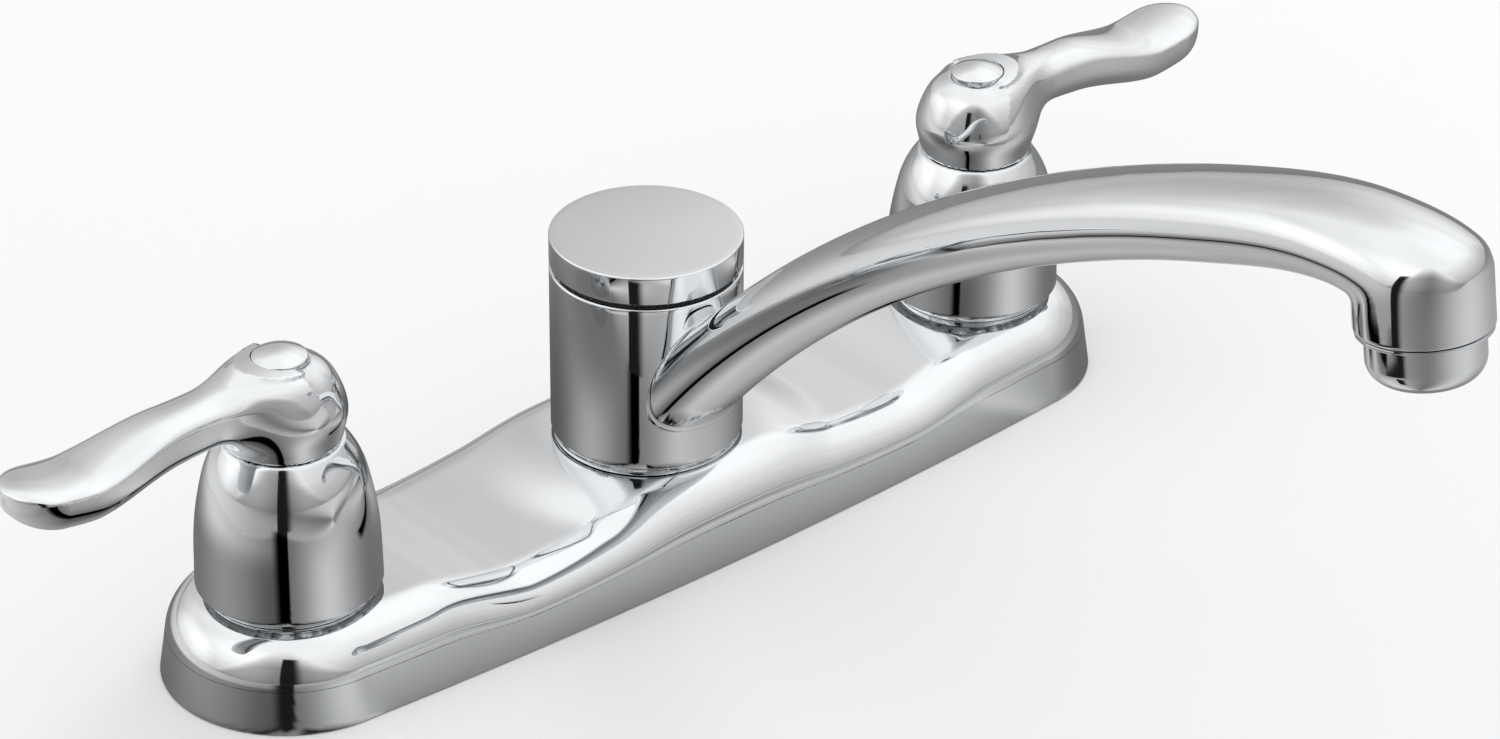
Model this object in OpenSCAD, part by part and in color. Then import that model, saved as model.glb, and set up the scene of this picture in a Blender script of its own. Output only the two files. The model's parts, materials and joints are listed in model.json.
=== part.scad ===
// Two handle kitchen faucet for a sink deck with holes at eight inch centres.
// The origin is on the mounting plane under the middle of the deck plate.
// +Z is up, X runs along the deck plate and the spout points to -Y at rest.
// The hot valve is on the -X side and the cold valve on the +X side.

/* [Deck plate] */
// Distance between the two valve axes
valve_spacing = 203.2; // [190:0.1:220]
// Radius of the plate's round ends at the deck
plate_end_r = 29; // [28:0.1:33]
// How far each long side bows out at its middle
plate_bow = 3.6; // [1:0.1:6]
// Height of the plate at the valves
plate_h = 20; // [18:0.1:22]
// How much higher the plate stands under the hub
plate_hub_rise = 0.7; // [0.2:0.1:2]
// How far the plate dips between valve and hub
plate_dip = 4; // [1:0.1:4.2]
// Lean of the plate's side walls in degrees
plate_draft = 8.4; // [4:0.1:10]
// Radius of the rounded upper edge
plate_shoulder_r = 9.6; // [6:0.1:10.5]
// Wall thickness of the plate shell
plate_wall = 2.2; // [1.6:0.1:2.6]
// Thickness of the soft gasket under the plate
gasket_t = 2.4; // [2:0.1:3]

/* [Supply shanks] */
// Outside diameter of the supply thread, half inch pipe
supply_d = 20.96; // [18:0.01:22]
// Length of the supply thread at the foot of a shank
supply_len = 27; // [20:1:30]
// Outside diameter of the mounting thread above it
shank_d = 22.6; // [21:0.1:24]
// Water bore of a shank
shank_bore_d = 13; // [9:0.1:14]
// Length of a shank below the deck
shank_len = 58; // [50:1:90]
// Sink deck thickness at which the lock nuts are parked
clamp_gap = 16; // [6:0.5:22]
// Outside diameter of a lock nut
lock_nut_d = 38; // [32:0.5:44]
// Height of a lock nut
lock_nut_h = 9; // [7:0.5:12]
// Thickness of the washer above a lock nut
deck_washer_t = 1.6; // [1:0.1:3]

/* [Valves] */
// Outside diameter of a valve body
valve_d = 29.2; // [28:0.1:31]
// Height of the top of a valve body above the deck
valve_top = 34; // [32:0.5:36]
// Diameter of the cartridge in its valve body
cartridge_d = 18.6; // [17:0.1:20]
// Outside diameter of the cartridge neck
cartridge_neck_d = 13.8; // [12:0.1:14.5]
// Diameter of a valve stem
stem_d = 8; // [7:0.1:9]
// Diameter of the two ceramic discs
disc_d = 12; // [11:0.1:12.8]
// Thickness of one ceramic disc
disc_t = 1.9; // [1.5:0.1:2.2]
// Outside diameter of a cross tube
tube_d = 9.52; // [8:0.01:9.6]
// Wall thickness of a cross tube
tube_wall = 0.8; // [0.6:0.05:1.2]

/* [Bonnets] */
// Diameter of a bonnet at its foot
bonnet_d = 41.1; // [39:0.1:43]
// Height of a bonnet
bonnet_h = 35.4; // [34:0.1:38]
// Diameter of a bonnet at its top
bonnet_top_d = 26.6; // [24:0.1:28]
// Wall thickness of a bonnet
bonnet_wall = 1.8; // [1.2:0.1:2.2]
// Diameter of the ring under a bonnet
base_ring_d = 36.8; // [35:0.1:37]
// Height of the ring under a bonnet
base_ring_h = 2.1; // [1.5:0.1:4]
// Wall thickness of the ring under a bonnet
base_ring_wall = 3.4; // [2:0.1:3.5]

/* [Handles] */
// Diameter of the knob where it meets the bonnet
knob_foot_d = 25.8; // [24:0.1:27]
// Largest diameter of the knob
knob_d = 28.2; // [27:0.1:30]
// Height of the knob up to the button recess
knob_h = 18.3; // [17:0.1:20]
// Reach of the lever from the valve axis to its tip
lever_reach = 70.5; // [60:0.5:85]
// Width of the lever at its narrow neck
lever_neck_w = 13.2; // [11:0.1:16]
// Width of the paddle at the end of the lever
lever_paddle_w = 18.6; // [15:0.1:24]
// Height of the lever's edge above the foot of the knob
lever_edge_h = 13.9; // [12.5:0.1:14.5]
// How far the lever dips on its way to the paddle
lever_dip = 3.4; // [0:0.1:5]
// How far the tip turns up again
lever_curl = 2.2; // [0:0.1:4]
// Depth of the lever's side at the knob
lever_root_depth = 6; // [5:0.1:8]
// Depth of the lever's side at the paddle
lever_paddle_depth = 8.5; // [4:0.1:9]
// Height of the lever's rounded top above its edge
lever_crown = 3.6; // [2:0.1:4.5]
// Diameter of the index button
button_d = 12.3; // [10:0.1:14]
// Height of the button above the rim of its recess
button_proud = 1.4; // [0.5:0.1:2.2]
// Height of the button's dome
button_dome = 1.6; // [0.5:0.1:3]
// Diameter of the handle screw
screw_d = 4; // [3:0.1:4.5]

/* [Spout hub] */
// Diameter of the spout hub and its cap
hub_d = 43.8; // [42:0.1:45]
// Height of the spout hub
hub_h = 41.1; // [39:0.1:46]
// Height of the visible side of the cap
cap_h = 6.7; // [4:0.1:10]
// Dark gap between hub and cap
cap_gap = 1.3; // [0.8:0.1:2.5]
// Diameter of the ring that the hub turns above
hub_ring_d = 42.6; // [40:0.1:43]
// Height of the ring that the hub turns above
hub_ring_h = 0.9; // [0.6:0.1:2]
// Diameter of the post that the spout turns on
post_d = 22; // [20:0.1:24]
// Width across flats of the nut on top of the post
post_nut_af = 26; // [24:0.5:28]

/* [Spout arm] */
// Height of the arm's centre above the hub's foot, at the hub's face
arm_root_h = 22.9; // [21:0.1:25]
// Radius of the long arc that the arm follows
arm_arc_r = 374; // [340:1:420]
// Slope of the arm at the hub in degrees
arm_start_angle = 48.4; // [46:0.2:50]
// Slope of the arm where the outlet bend begins in degrees
arm_end_angle = 14.2; // [10:0.1:18]
// Height of the arm's oval section
arm_t = 17.7; // [16:0.1:19]
// Outside diameter of the outlet collar, and width of the arm
collar_d = 27.14; // [26:0.02:29]
// Length of the collar below the inner corner of the bend
collar_len = 6.4; // [5:0.1:9]
// Length of the arm over which it turns into the outlet
bend_lead = 15; // [12:0.1:18]
// Height above the inner corner at which the outer side turns straight
bend_rise = 6.2; // [4:0.1:8]
// Outward tilt of the outlet in degrees
outlet_tilt = 9.4; // [5:0.1:12]
// Wall thickness of the arm around its waterway
arm_wall = 3; // [2:0.1:4]

/* [Aerator] */
// Outside diameter of the aerator housing
aerator_d = 23.4; // [21:0.1:24]
// Diameter of the thin flange that meets the collar
aerator_flange_d = 26.6; // [24.5:0.1:27]
// Length of the aerator below the collar
aerator_len = 10.9; // [8:0.1:14]
// Radius of the aerator's rounded lower edge
aerator_edge_r = 4.8; // [2:0.1:5]
// Depth of the threaded socket in the collar
socket_depth = 9; // [7:0.1:10]

/* [Hidden] */
$fn = 96;

chrome = [0.80, 0.82, 0.84];
brass = [0.80, 0.63, 0.32];
copper = [0.78, 0.45, 0.30];
rubber = [0.12, 0.12, 0.13];
white_plastic = [0.90, 0.90, 0.88];
ceramic = [0.86, 0.84, 0.78];

// Clearances: sliding fit of a turning pair, fit of a fixed pair, gap between moving faces
run_fit = 0.05;
fixed_fit = 0.04;
face_gap = 0.3;
// Overshoot of a cut past the face that it opens
cut = 1;

valve_x = valve_spacing / 2;
shank_r = shank_d / 2;
supply_r = supply_d / 2;
shank_bore_r = shank_bore_d / 2;
valve_r = valve_d / 2;
cartridge_r = cartridge_d / 2;
neck_r = cartridge_neck_d / 2;
stem_r = stem_d / 2;
disc_r = disc_d / 2;
tube_r = tube_d / 2;
post_r = post_d / 2;
hub_r = hub_d / 2;
collar_r = collar_d / 2;
aerator_r = aerator_d / 2;
flange_r = aerator_flange_d / 2;

// Heights in the valve column, from the deck up
flange_t = 4;
socket_len = 5;
socket_top = gasket_t + socket_len;
boss_wall = 1;
boss_r = tube_r + boss_wall;
boss_lift = 0.14;
tube_z = gasket_t + boss_r + boss_lift;
seat_z = tube_z + boss_r;
cartridge_base = seat_z;
cavity_r = disc_r + face_gap;
seat_top = cartridge_base + 1.6 + disc_t;
rotor_top = seat_top + run_fit + disc_t;
thread_depth = 6;
cartridge_shoulder = valve_top - thread_depth;
nut_hex_h = 6;
neck_top = valve_top + nut_hex_h + 4;
bonnet_z = plate_h + base_ring_h;
bonnet_top = bonnet_z + bonnet_h;
handle_z = bonnet_top + face_gap;
knob_top = handle_z + knob_h;
button_top = knob_top + button_proud;
pocket_depth = 2.7;
screw_head_h = 2.6;
head_r = screw_d * 0.9;
head_seat = knob_top - pocket_depth - screw_head_h - 0.2;
stem_top = head_seat - 1.8;
screw_len = 10;
ring_bore_r = base_ring_d / 2 - base_ring_wall;
nest_h = 0.6;

// Heights in the hub column
hub_seat = plate_h + plate_hub_rise;
hub_z = hub_seat + hub_ring_h + face_gap;
hub_top = hub_z + hub_h;
body_r = post_r + 4;
body_top = hub_seat + hub_ring_h - 0.2;
well_depth = hub_h * 0.268;
well_z = hub_top - well_depth;
well_r = post_nut_af / 2 / cos(30) + 2.4;
post_top = well_z + 0.2;
stud_r = 8;
washer_t = 0.8;
post_nut_h = 5;
chamber_r = post_r + 3.4;
chamber_z = hub_z + hub_h * 0.306;
chamber_h = hub_h * 0.306;
ring_section = 2.2;
groove_depth = 1.9;
groove_w = 2.7;
low_ring_z = hub_z + hub_h * 0.158;
high_ring_z = well_z - hub_h * 0.063;

// Plate outline, one quarter of it, as [x, y] at an inward offset
side_steps = 10;
end_steps = 11;
draft_slope = tan(plate_draft);
flat_valve = plate_end_r * 0.66;
dip_x = valve_x * 0.55;
flat_hub = hub_r + 1.2;
fade_hub = flat_hub + 20;

function smooth(t) = let(u = max(0, min(1, t))) u * u * (3 - 2 * u);
function mix(a, b, t) = a + (b - a) * t;

// Height of the plate's top at a place
function crest(x, y) =
    let(
        ax = abs(x),
        dip = ax < dip_x ? smooth(ax / dip_x) : 1 - smooth((ax - dip_x) / (valve_x - flat_valve - dip_x)),
        mound = 1 - smooth((norm([x, y]) - flat_hub) / (fade_hub - flat_hub)),
        base = plate_h - plate_dip * dip
    )
    mix(base, hub_seat, mound);

// Inward offset of the outer skin at a share of the full height
function skin_offset(share, height, radius) =
    let(
        z = share * height,
        rise = max(0, z - (height - radius)) / radius
    )
    draft_slope * z + radius * (1 - sqrt(max(0, 1 - rise * rise)));

function quarter(inset) = concat(
    [for (i = [0 : end_steps - 1]) let(a = 90 * i / end_steps)
        [valve_x + (plate_end_r - inset) * cos(a), (plate_end_r - inset) * sin(a)]],
    [for (i = [0 : side_steps]) let(x = valve_x * (1 - i / side_steps))
        [x, plate_end_r - inset + plate_bow * (1 - pow(x / valve_x, 2))]]
);

// Whole outline, counterclockwise from the +X end
function outline(inset, squeeze = 1) =
    let(q = quarter(inset), n = len(q))
    concat(
        [for (p = q) [p[0], p[1] * squeeze]],
        [for (i = [n - 2 : -1 : 0]) [-q[i][0], q[i][1] * squeeze]],
        [for (i = [1 : n - 1]) [-q[i][0], -q[i][1] * squeeze]],
        [for (i = [n - 2 : -1 : 1]) [q[i][0], -q[i][1] * squeeze]]
    );

// One ring of the plate skin: a share of the height, thinned by a wall
function plate_ring(share, radius, wall, squeeze = 1, lift = 0) =
    let(inset = skin_offset(share, plate_h - wall, radius) + wall)
    [for (p = outline(inset, squeeze)) [p[0], p[1], lift + share * (crest(p[0], p[1]) - wall - lift)]];

// Closed solid from a stack of rings with equal counts, capped across mirrored points
module ring_stack(rings) {
    n = len(rings[0]);
    m = len(rings);
    half = n / 2;
    points = [for (r = rings) each r];
    walls = [for (j = [0 : m - 2]) for (i = [0 : n - 1]) let(k = (i + 1) % n)
        each [[j * n + i, (j + 1) * n + i, (j + 1) * n + k], [j * n + i, (j + 1) * n + k, j * n + k]]];
    top = (m - 1) * n;
    caps = [for (i = [0 : half - 1]) let(a = i, b = i + 1, c = (n - i - 1) % n, d = (n - i) % n)
        each (
            i == 0 ? [[a, b, c], [top + a, top + c, top + b]]
            : i == half - 1 ? [[a, b, d], [top + a, top + d, top + b]]
            : [[a, b, c], [a, c, d], [top + a, top + c, top + b], [top + a, top + d, top + c]]
        )];
    polyhedron(points, concat(walls, caps));
}

core_shoulder_r = plate_shoulder_r - 2;
skin_start = 1 - plate_shoulder_r / plate_h;
core_start = 1 - core_shoulder_r / (plate_h - plate_wall);
skin_steps = [0, skin_start / 2, for (a = [0 : 15 : 90]) mix(skin_start, 1, sin(a))];
core_steps = [0, for (a = [0 : 22.5 : 90]) mix(core_start, 1, sin(a))];

module plate_outer() {
    ring_stack(concat(
        [for (s = skin_steps) plate_ring(s, plate_shoulder_r, 0)],
        [for (q = [0.66, 0.33]) plate_ring(1, plate_shoulder_r, 0, q)]
    ));
}

module plate_inner() {
    ring_stack(concat(
        [[for (p = outline(plate_wall)) [p[0], p[1], -cut]]],
        [for (s = core_steps) plate_ring(s, core_shoulder_r, plate_wall)],
        [for (q = [0.6, 0.25]) plate_ring(1, core_shoulder_r, plate_wall, q)]
    ));
}

module at_valve(side) {
    translate([side * valve_x, 0, 0]) children();
}

// Tube along Z between two heights
module pipe(z0, z1, outer, inner) {
    translate([0, 0, z0]) difference() {
        cylinder(h = z1 - z0, r = outer);
        translate([0, 0, -cut]) cylinder(h = z1 - z0 + 2 * cut, r = inner);
    }
}

module disc(z0, z1, r) {
    translate([0, 0, z0]) cylinder(h = z1 - z0, r = r);
}

// Hexagonal prism by its width across flats
module hexagon(z0, z1, flats) {
    translate([0, 0, z0]) cylinder(h = z1 - z0, r = flats / 2 / cos(30), $fn = 6);
}

// Cylinder along X from one x to another at a height
module x_rod(x0, x1, z, r) {
    translate([min(x0, x1), 0, z]) rotate([0, 90, 0]) cylinder(h = abs(x1 - x0), r = r);
}

// Sculpted chrome shell with holes for both valves and the centre body
module deck_plate() {
    color(chrome) difference() {
        plate_outer();
        plate_inner();
        for (side = [-1, 1]) at_valve(side) disc(plate_h / 2, plate_h + cut, valve_r + 0.3);
        disc(plate_h / 2, hub_seat + cut, body_r + 0.3);
    }
}

// Soft sheet inside the rim of the plate, which seals it to the sink
module base_gasket() {
    reach = plate_end_r - plate_wall - draft_slope * gasket_t - 0.3;
    color(rubber) difference() {
        linear_extrude(height = gasket_t) {
            for (side = [-1, 1]) translate([side * valve_x, 0]) circle(r = reach);
            polygon([for (p = outline(plate_end_r - reach)) p]);
        }
        for (side = [-1, 1]) at_valve(side) disc(-cut, gasket_t + cut, shank_r + 0.5);
    }
}

boss_reach = valve_r * 1.48;
centre_boss_reach = body_r * 1.4;
post_bore_r = post_r * 0.6;

// Brass tee with the post that the spout turns on
module centre_body() {
    color(brass) difference() {
        union() {
            disc(gasket_t, body_top, body_r);
            disc(gasket_t, post_top, post_r);
            disc(post_top - cut, post_top + washer_t + post_nut_h + 2, stud_r);
            x_rod(-centre_boss_reach, centre_boss_reach, tube_z, boss_r);
        }
        disc(tube_z - tube_r, high_ring_z - groove_w * 1.8, post_bore_r);
        x_rod(-centre_boss_reach - cut, centre_boss_reach + cut, tube_z, tube_r - tube_wall);
        for (side = [-1, 1])
            x_rod(side * (centre_boss_reach - socket_len), side * (centre_boss_reach + cut), tube_z,
                  tube_r + fixed_fit);
        for (turn = [45, 135])
            translate([0, 0, chamber_z + chamber_h / 2]) rotate([90, 0, turn])
                cylinder(h = 2 * post_r + 2, r = 3, center = true);
        for (z = [low_ring_z, high_ring_z])
            pipe(z - groove_w / 2, z + groove_w / 2, post_r + cut, post_r - groove_depth);
    }
}

// Two rubber rings in the grooves of the post
module post_o_rings() {
    color(rubber) for (z = [low_ring_z, high_ring_z])
        translate([0, 0, z]) rotate_extrude()
            translate([post_r - ring_section / 2 + 0.02, 0]) circle(d = ring_section, $fn = 24);
}

module hub_base_ring() {
    color(chrome) pipe(hub_seat, hub_seat + hub_ring_h, hub_ring_d / 2, body_r + 0.2);
}

module post_washer() {
    color(white_plastic) pipe(post_top, post_top + washer_t, well_r - 1.2, stud_r + 0.1);
}

module post_nut() {
    z0 = post_top + washer_t;
    color(brass) difference() {
        hexagon(z0, z0 + post_nut_h, post_nut_af);
        disc(z0 - cut, z0 + post_nut_h + cut, stud_r + fixed_fit);
    }
}

// Shank with its supply thread below a wider mounting thread, screwed into the valve body
module shank(side) {
    color(brass) at_valve(side) difference() {
        union() {
            disc(-shank_len, -shank_len + supply_len + cut, supply_r);
            disc(-shank_len + supply_len, gasket_t + socket_len, shank_r);
        }
        disc(-shank_len - cut, gasket_t + socket_len + cut, shank_bore_r);
    }
}

module lock_nut(side) {
    z1 = -clamp_gap - deck_washer_t;
    z0 = z1 - lock_nut_h;
    wings = 8;
    wing_t = 2.8;
    barrel_r = shank_r + 3.4;
    rim_h = 2.4;
    color(white_plastic) at_valve(side) difference() {
        union() {
            disc(z1 - rim_h, z1, lock_nut_d / 2);
            disc(z0, z1 - rim_h / 2, barrel_r);
            for (i = [0 : wings - 1]) rotate(360 * i / wings)
                translate([barrel_r - 1, -wing_t / 2, z0 + 0.5])
                    cube([lock_nut_d / 2 - barrel_r, wing_t, lock_nut_h - rim_h]);
        }
        disc(z0 - cut, z1 + cut, shank_r + fixed_fit);
    }
}

module deck_washer(side) {
    color("dimgray") at_valve(side)
        pipe(-clamp_gap - deck_washer_t, -clamp_gap, lock_nut_d / 2 + 1, shank_r + 0.3);
}

// Brass valve body with its side port towards the centre
module valve_body(side) {
    duct_x = (cartridge_r + valve_r) / 2 - 1.2;
    duct_start = shank_r + 0.6;
    color(brass) at_valve(side) difference() {
        union() {
            disc(gasket_t, gasket_t + flange_t, valve_r + 2);
            disc(gasket_t, valve_top, valve_r);
            x_rod(0, -side * boss_reach, tube_z, boss_r);
        }
        disc(gasket_t - cut, gasket_t + socket_len, shank_r + fixed_fit);
        disc(gasket_t, cartridge_base + cut, shank_bore_r);
        disc(cartridge_base, valve_top, cartridge_r + 0.1);
        disc(cartridge_shoulder, valve_top + cut, cartridge_r + 1.7);
        x_rod(-side * duct_start, -side * (boss_reach + cut), tube_z, tube_r - tube_wall - 0.6);
        x_rod(-side * (boss_reach - socket_len), -side * (boss_reach + cut), tube_z, tube_r + fixed_fit);
        translate([-side * duct_x, 0, 0]) disc(socket_top + 0.4, cartridge_base + 9, 2);
    }
}

module cross_tube(side) {
    from = valve_x - boss_reach + socket_len - 0.2;
    to = centre_boss_reach - socket_len + 0.2;
    color(copper) difference() {
        x_rod(side * to, side * from, tube_z, tube_r);
        x_rod(side * (to - cut), side * (from + cut), tube_z, tube_r - tube_wall);
    }
}

// Fixed plastic cartridge with a window to the side duct
module cartridge(side) {
    color(white_plastic) at_valve(side) difference() {
        union() {
            disc(cartridge_base, cartridge_shoulder, cartridge_r);
            disc(cartridge_shoulder - cut, neck_top, neck_r);
        }
        disc(cartridge_base - cut, cartridge_base + 1.6 + cut, shank_bore_r - 2);
        disc(cartridge_base + 1.6, rotor_top + 3.4, cavity_r);
        disc(rotor_top, neck_top + cut, stem_r + run_fit);
        translate([-side * cartridge_r, 0, rotor_top - disc_t / 2 + 1.2])
            cube([2 * (cartridge_r - cavity_r) + 2, 5, disc_t + 2], center = true);
    }
}

module port_disc(z0, z1, r, shift) {
    difference() {
        disc(z0, z1, r);
        translate([0, shift, 0]) disc(z0 - cut, z1 + cut, r * 0.36);
    }
}

module seat_disc(side) {
    color(ceramic) at_valve(side) port_disc(cartridge_base + 1.6, seat_top, disc_r, disc_r * 0.5);
}

module cartridge_nut(side) {
    color(brass) at_valve(side) difference() {
        union() {
            disc(cartridge_shoulder + 0.1, valve_top + cut, cartridge_r + 1.6);
            hexagon(valve_top, valve_top + nut_hex_h, 2 * valve_r * cos(30) - 1.2);
        }
        disc(cartridge_shoulder - cut, valve_top + nut_hex_h + cut, neck_r + fixed_fit);
    }
}

module base_ring(side) {
    color(chrome) at_valve(side)
        pipe(plate_h, bonnet_z + nest_h, base_ring_d / 2, ring_bore_r);
}

// Bell profile from foot to top as radius and height above the foot
bell_shares = [
    [0, 0], [0.02, 0.17], [0.05, 0.34], [0.135, 0.51], [0.28, 0.67], [0.43, 0.79], [0.67, 0.9], [1, 1]
];

function bell(thin) = [for (b = bell_shares)
    [mix(bonnet_d, bonnet_top_d, b[0]) / 2 - thin, b[1] * (bonnet_h - thin * smooth(b[1] * 2))]];

module bonnet(side) {
    mouth_r = bonnet_top_d / 2 - bonnet_wall - 1.6;
    lining = bell(bonnet_wall);
    floor_z = lining[1][1];
    color(chrome) at_valve(side) translate([0, 0, bonnet_z]) difference() {
        rotate_extrude() polygon(concat([[0, 0]], bell(0), [[0, bonnet_h]]));
        rotate_extrude() polygon(concat([[0, floor_z]], [for (i = [1 : len(lining) - 1]) lining[i]],
            [[0, bonnet_h - bonnet_wall]]));
        disc(-cut, floor_z + cut, valve_r + fixed_fit);
        disc(-cut, nest_h, base_ring_d / 2 + fixed_fit);
        disc(floor_z, bonnet_h + cut, mouth_r);
    }
}

// Knob profile as radius share of the widest and height share
knob_mid = [[1, 0.31], [0.986, 0.475], [0.917, 0.64], [0.813, 0.805], [0.642, 0.935]];

module knob_solid() {
    rim = button_d / 2 + 0.7;
    rotate_extrude() polygon(concat(
        [[0, 0], [knob_foot_d / 2, 0], [mix(knob_foot_d, knob_d, 0.45) / 2, knob_h * 0.145]],
        [for (k = knob_mid) [k[0] * knob_d / 2, k[1] * knob_h]],
        [[rim, knob_h], [0, knob_h]]
    ));
}

lever_rings = 20;
lever_sides = 28;
tip_round = lever_reach * 0.142;
lever_start = lever_reach * 0.057;
lever_root_x = lever_reach * 0.17;

// Half outline of the lever's section: rounded crown above the edge, fuller side below
function lever_section(w, crown, depth) = [for (i = [0 : lever_sides - 1])
    let(
        a = 360 * i / lever_sides,
        power = sin(a) >= 0 ? 1 : 0.67,
        across = sign(cos(a)) * pow(abs(cos(a)), power),
        rise = pow(abs(sin(a)), power)
    )
    [w * across, sin(a) >= 0 ? crown * rise : -depth * rise]];

// Ring of the lever at a distance from the valve axis
function lever_ring(d) =
    let(
        neck = lever_reach * 0.35,
        wide = lever_reach * 0.76,
        flare = smooth((d - neck) / (wide - neck)),
        root = 1 - smooth((d - lever_root_x / 2) / (neck - lever_root_x / 2)),
        over = max(0, d - (lever_reach - tip_round)) / tip_round,
        close = sqrt(max(0.004, 1 - over * over)),
        w = (mix(lever_neck_w, lever_paddle_w, flare) + lever_neck_w * 0.09 * root) / 2 * close,
        edge = lever_edge_h - lever_dip * smooth((d - neck * 1.2) / (wide - neck * 1.2))
            + lever_curl * smooth((d - wide * 0.95) / (lever_reach - wide * 0.95)),
        deepen = smooth((d - lever_root_x) / neck),
        depth = mix(lever_root_depth, lever_paddle_depth, deepen) * mix(1, close, 0.8),
        crown = lever_crown * mix(1, 0.62, smooth((d - lever_root_x) / wide)) * sqrt(close)
    )
    [for (p = lever_section(w, crown, depth)) [d, p[0], edge + p[1]]];

lever_stations = concat(
    [for (i = [0 : lever_rings - 8]) mix(lever_start, lever_reach - tip_round, i / (lever_rings - 8))],
    [for (i = [1 : 7]) lever_reach - tip_round * (1 - sin(90 * i / 7))]
);

// Polyhedron from rings of equal counts with flat fans at both ends
module tube_solid(rings) {
    n = len(rings[0]);
    m = len(rings);
    points = [for (r = rings) each r];
    walls = [for (j = [0 : m - 2]) for (i = [0 : n - 1]) let(k = (i + 1) % n)
        each [[j * n + i, (j + 1) * n + i, (j + 1) * n + k], [j * n + i, (j + 1) * n + k, j * n + k]]];
    near = [for (i = [1 : n - 2]) [0, i, i + 1]];
    far = [for (i = [1 : n - 2]) [(m - 1) * n, (m - 1) * n + i + 1, (m - 1) * n + i]];
    polyhedron(points, concat(walls, near, far));
}

// Knob and lever in one casting, hollowed for the stem, screw and button
module handle(side) {
    socket_top = stem_top - handle_z + 0.1;
    seat = head_seat - handle_z;
    color(chrome) at_valve(side) translate([0, 0, handle_z]) difference() {
        union() {
            knob_solid();
            rotate(side > 0 ? 0 : 180) tube_solid([for (d = lever_stations) lever_ring(d)]);
        }
        disc(-cut, socket_top, stem_r + fixed_fit);
        disc(-cut, 1.6, neck_r + 1);
        disc(socket_top - cut, seat + cut, screw_d / 2 + 0.1);
        disc(seat, knob_h + 6, head_r + 0.3);
        disc(knob_h - pocket_depth, knob_h + 6, button_d / 2 + 0.15);
    }
}

module stem(side) {
    color(brass) at_valve(side) difference() {
        union() {
            disc(rotor_top, rotor_top + 3, disc_r);
            disc(rotor_top, stem_top, stem_r);
        }
        disc(stem_top - screw_len, stem_top + cut, screw_d / 2 + 0.02);
    }
}

module rotor_disc(side) {
    color(ceramic) at_valve(side) port_disc(seat_top + run_fit, rotor_top, disc_r, -disc_r * 0.5);
}

module handle_screw(side) {
    color("silver") at_valve(side) difference() {
        union() {
            disc(stem_top - screw_len + 1.5, head_seat + cut, screw_d / 2);
            disc(head_seat, head_seat + screw_head_h, head_r);
        }
        for (turn = [0, 90]) rotate(turn)
            translate([-2.4, -0.45, head_seat + screw_head_h - 1.2]) cube([4.8, 0.9, 2]);
    }
}

// Domed cap that hides the handle screw
module index_button(side) {
    r = button_d / 2;
    foot = knob_top - pocket_depth + 0.1;
    bulge = (r * r + button_dome * button_dome) / (2 * button_dome);
    sweep = asin(r / bulge);
    color(chrome) at_valve(side) rotate_extrude() polygon(concat(
        [[0, foot], [r - 0.5, foot], [r - 0.5, foot + 0.8], [r, foot + 1.2], [r, button_top]],
        [for (i = [1 : 8]) let(a = sweep * (1 - i / 8))
            [bulge * sin(a), button_top + button_dome - bulge * (1 - cos(a))]]
    ));
}

// Spout arm: points of its long arc in the plane [y, z], by slope angle
arm_start = [-hub_r, hub_z + arm_root_h];
function arm_point(a) =
    arm_start + arm_arc_r * [sin(a) - sin(arm_start_angle), cos(a) - cos(arm_start_angle)];
function arm_normal(a) = [sin(a), cos(a)];
function arm_along(a) = [-cos(a), sin(a)];

arm_half = arm_t / 2;
corner_reach = collar_len * 0.28;
corner = arm_point(arm_end_angle) - arm_half * arm_normal(arm_end_angle);
outlet_down = [-sin(outlet_tilt), -cos(outlet_tilt)];
outlet_out = [-cos(outlet_tilt), sin(outlet_tilt)];
rim_centre = corner + collar_r * outlet_out + collar_len * outlet_down;

function bezier(p, t) =
    pow(1 - t, 3) * p[0] + 3 * t * pow(1 - t, 2) * p[1] + 3 * t * t * (1 - t) * p[2] + pow(t, 3) * p[3];

// Inner and outer line of the outlet bend, thinned by a wall
function bend_inner(wall) =
    let(
        a = corner + wall * arm_normal(arm_end_angle) - bend_lead * arm_along(arm_end_angle),
        b = corner + wall * outlet_out + corner_reach * outlet_down,
        c = corner + wall * (arm_normal(arm_end_angle) + outlet_out)
    )
    [a, mix(a, c, 0.6), mix(b, c, 0.6), b];
function bend_outer(wall) =
    let(
        a = corner + (arm_t - wall) * arm_normal(arm_end_angle) - bend_lead * arm_along(arm_end_angle),
        b = corner + (collar_d - wall) * outlet_out - bend_rise * outlet_down
    )
    [a, a + arm_along(arm_end_angle) * collar_d * 0.31, b - outlet_down * collar_d * 0.38, b];

// Oval ring through an inner and an outer point of the plane [y, z]; a power below 1 squares it a little
function oval(inner, outer, half_w, sides, power = 1) = [for (i = [0 : sides - 1])
    let(
        a = 360 * i / sides,
        across = sign(cos(a)) * pow(abs(cos(a)), power),
        up = sign(sin(a)) * pow(abs(sin(a)), power),
        p = (inner + outer) / 2 + up * (outer - inner) / 2
    )
    [half_w * across, p[0], p[1]]];

function arm_ring(a, wall, sides) =
    let(p = arm_point(a), n = arm_normal(a), h = arm_half - wall)
    oval(p - h * n, p + h * n, collar_r - wall, sides, arm_power);
function bend_ring(t, wall, sides) =
    oval(bezier(bend_inner(wall), t), bezier(bend_outer(wall), t), collar_r - wall, sides,
         mix(arm_power, 1, t));
function collar_ring(down, wall, sides) =
    let(c = rim_centre + down * outlet_down)
    oval(c - (collar_r - wall) * outlet_out, c + (collar_r - wall) * outlet_out, collar_r - wall,
         sides);

arc_share = 180 / PI / arm_arc_r;
root_angle = arm_start_angle + (hub_r - chamber_r + 2) / cos(arm_start_angle) * arc_share;
arm_power = 0.96;

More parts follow.
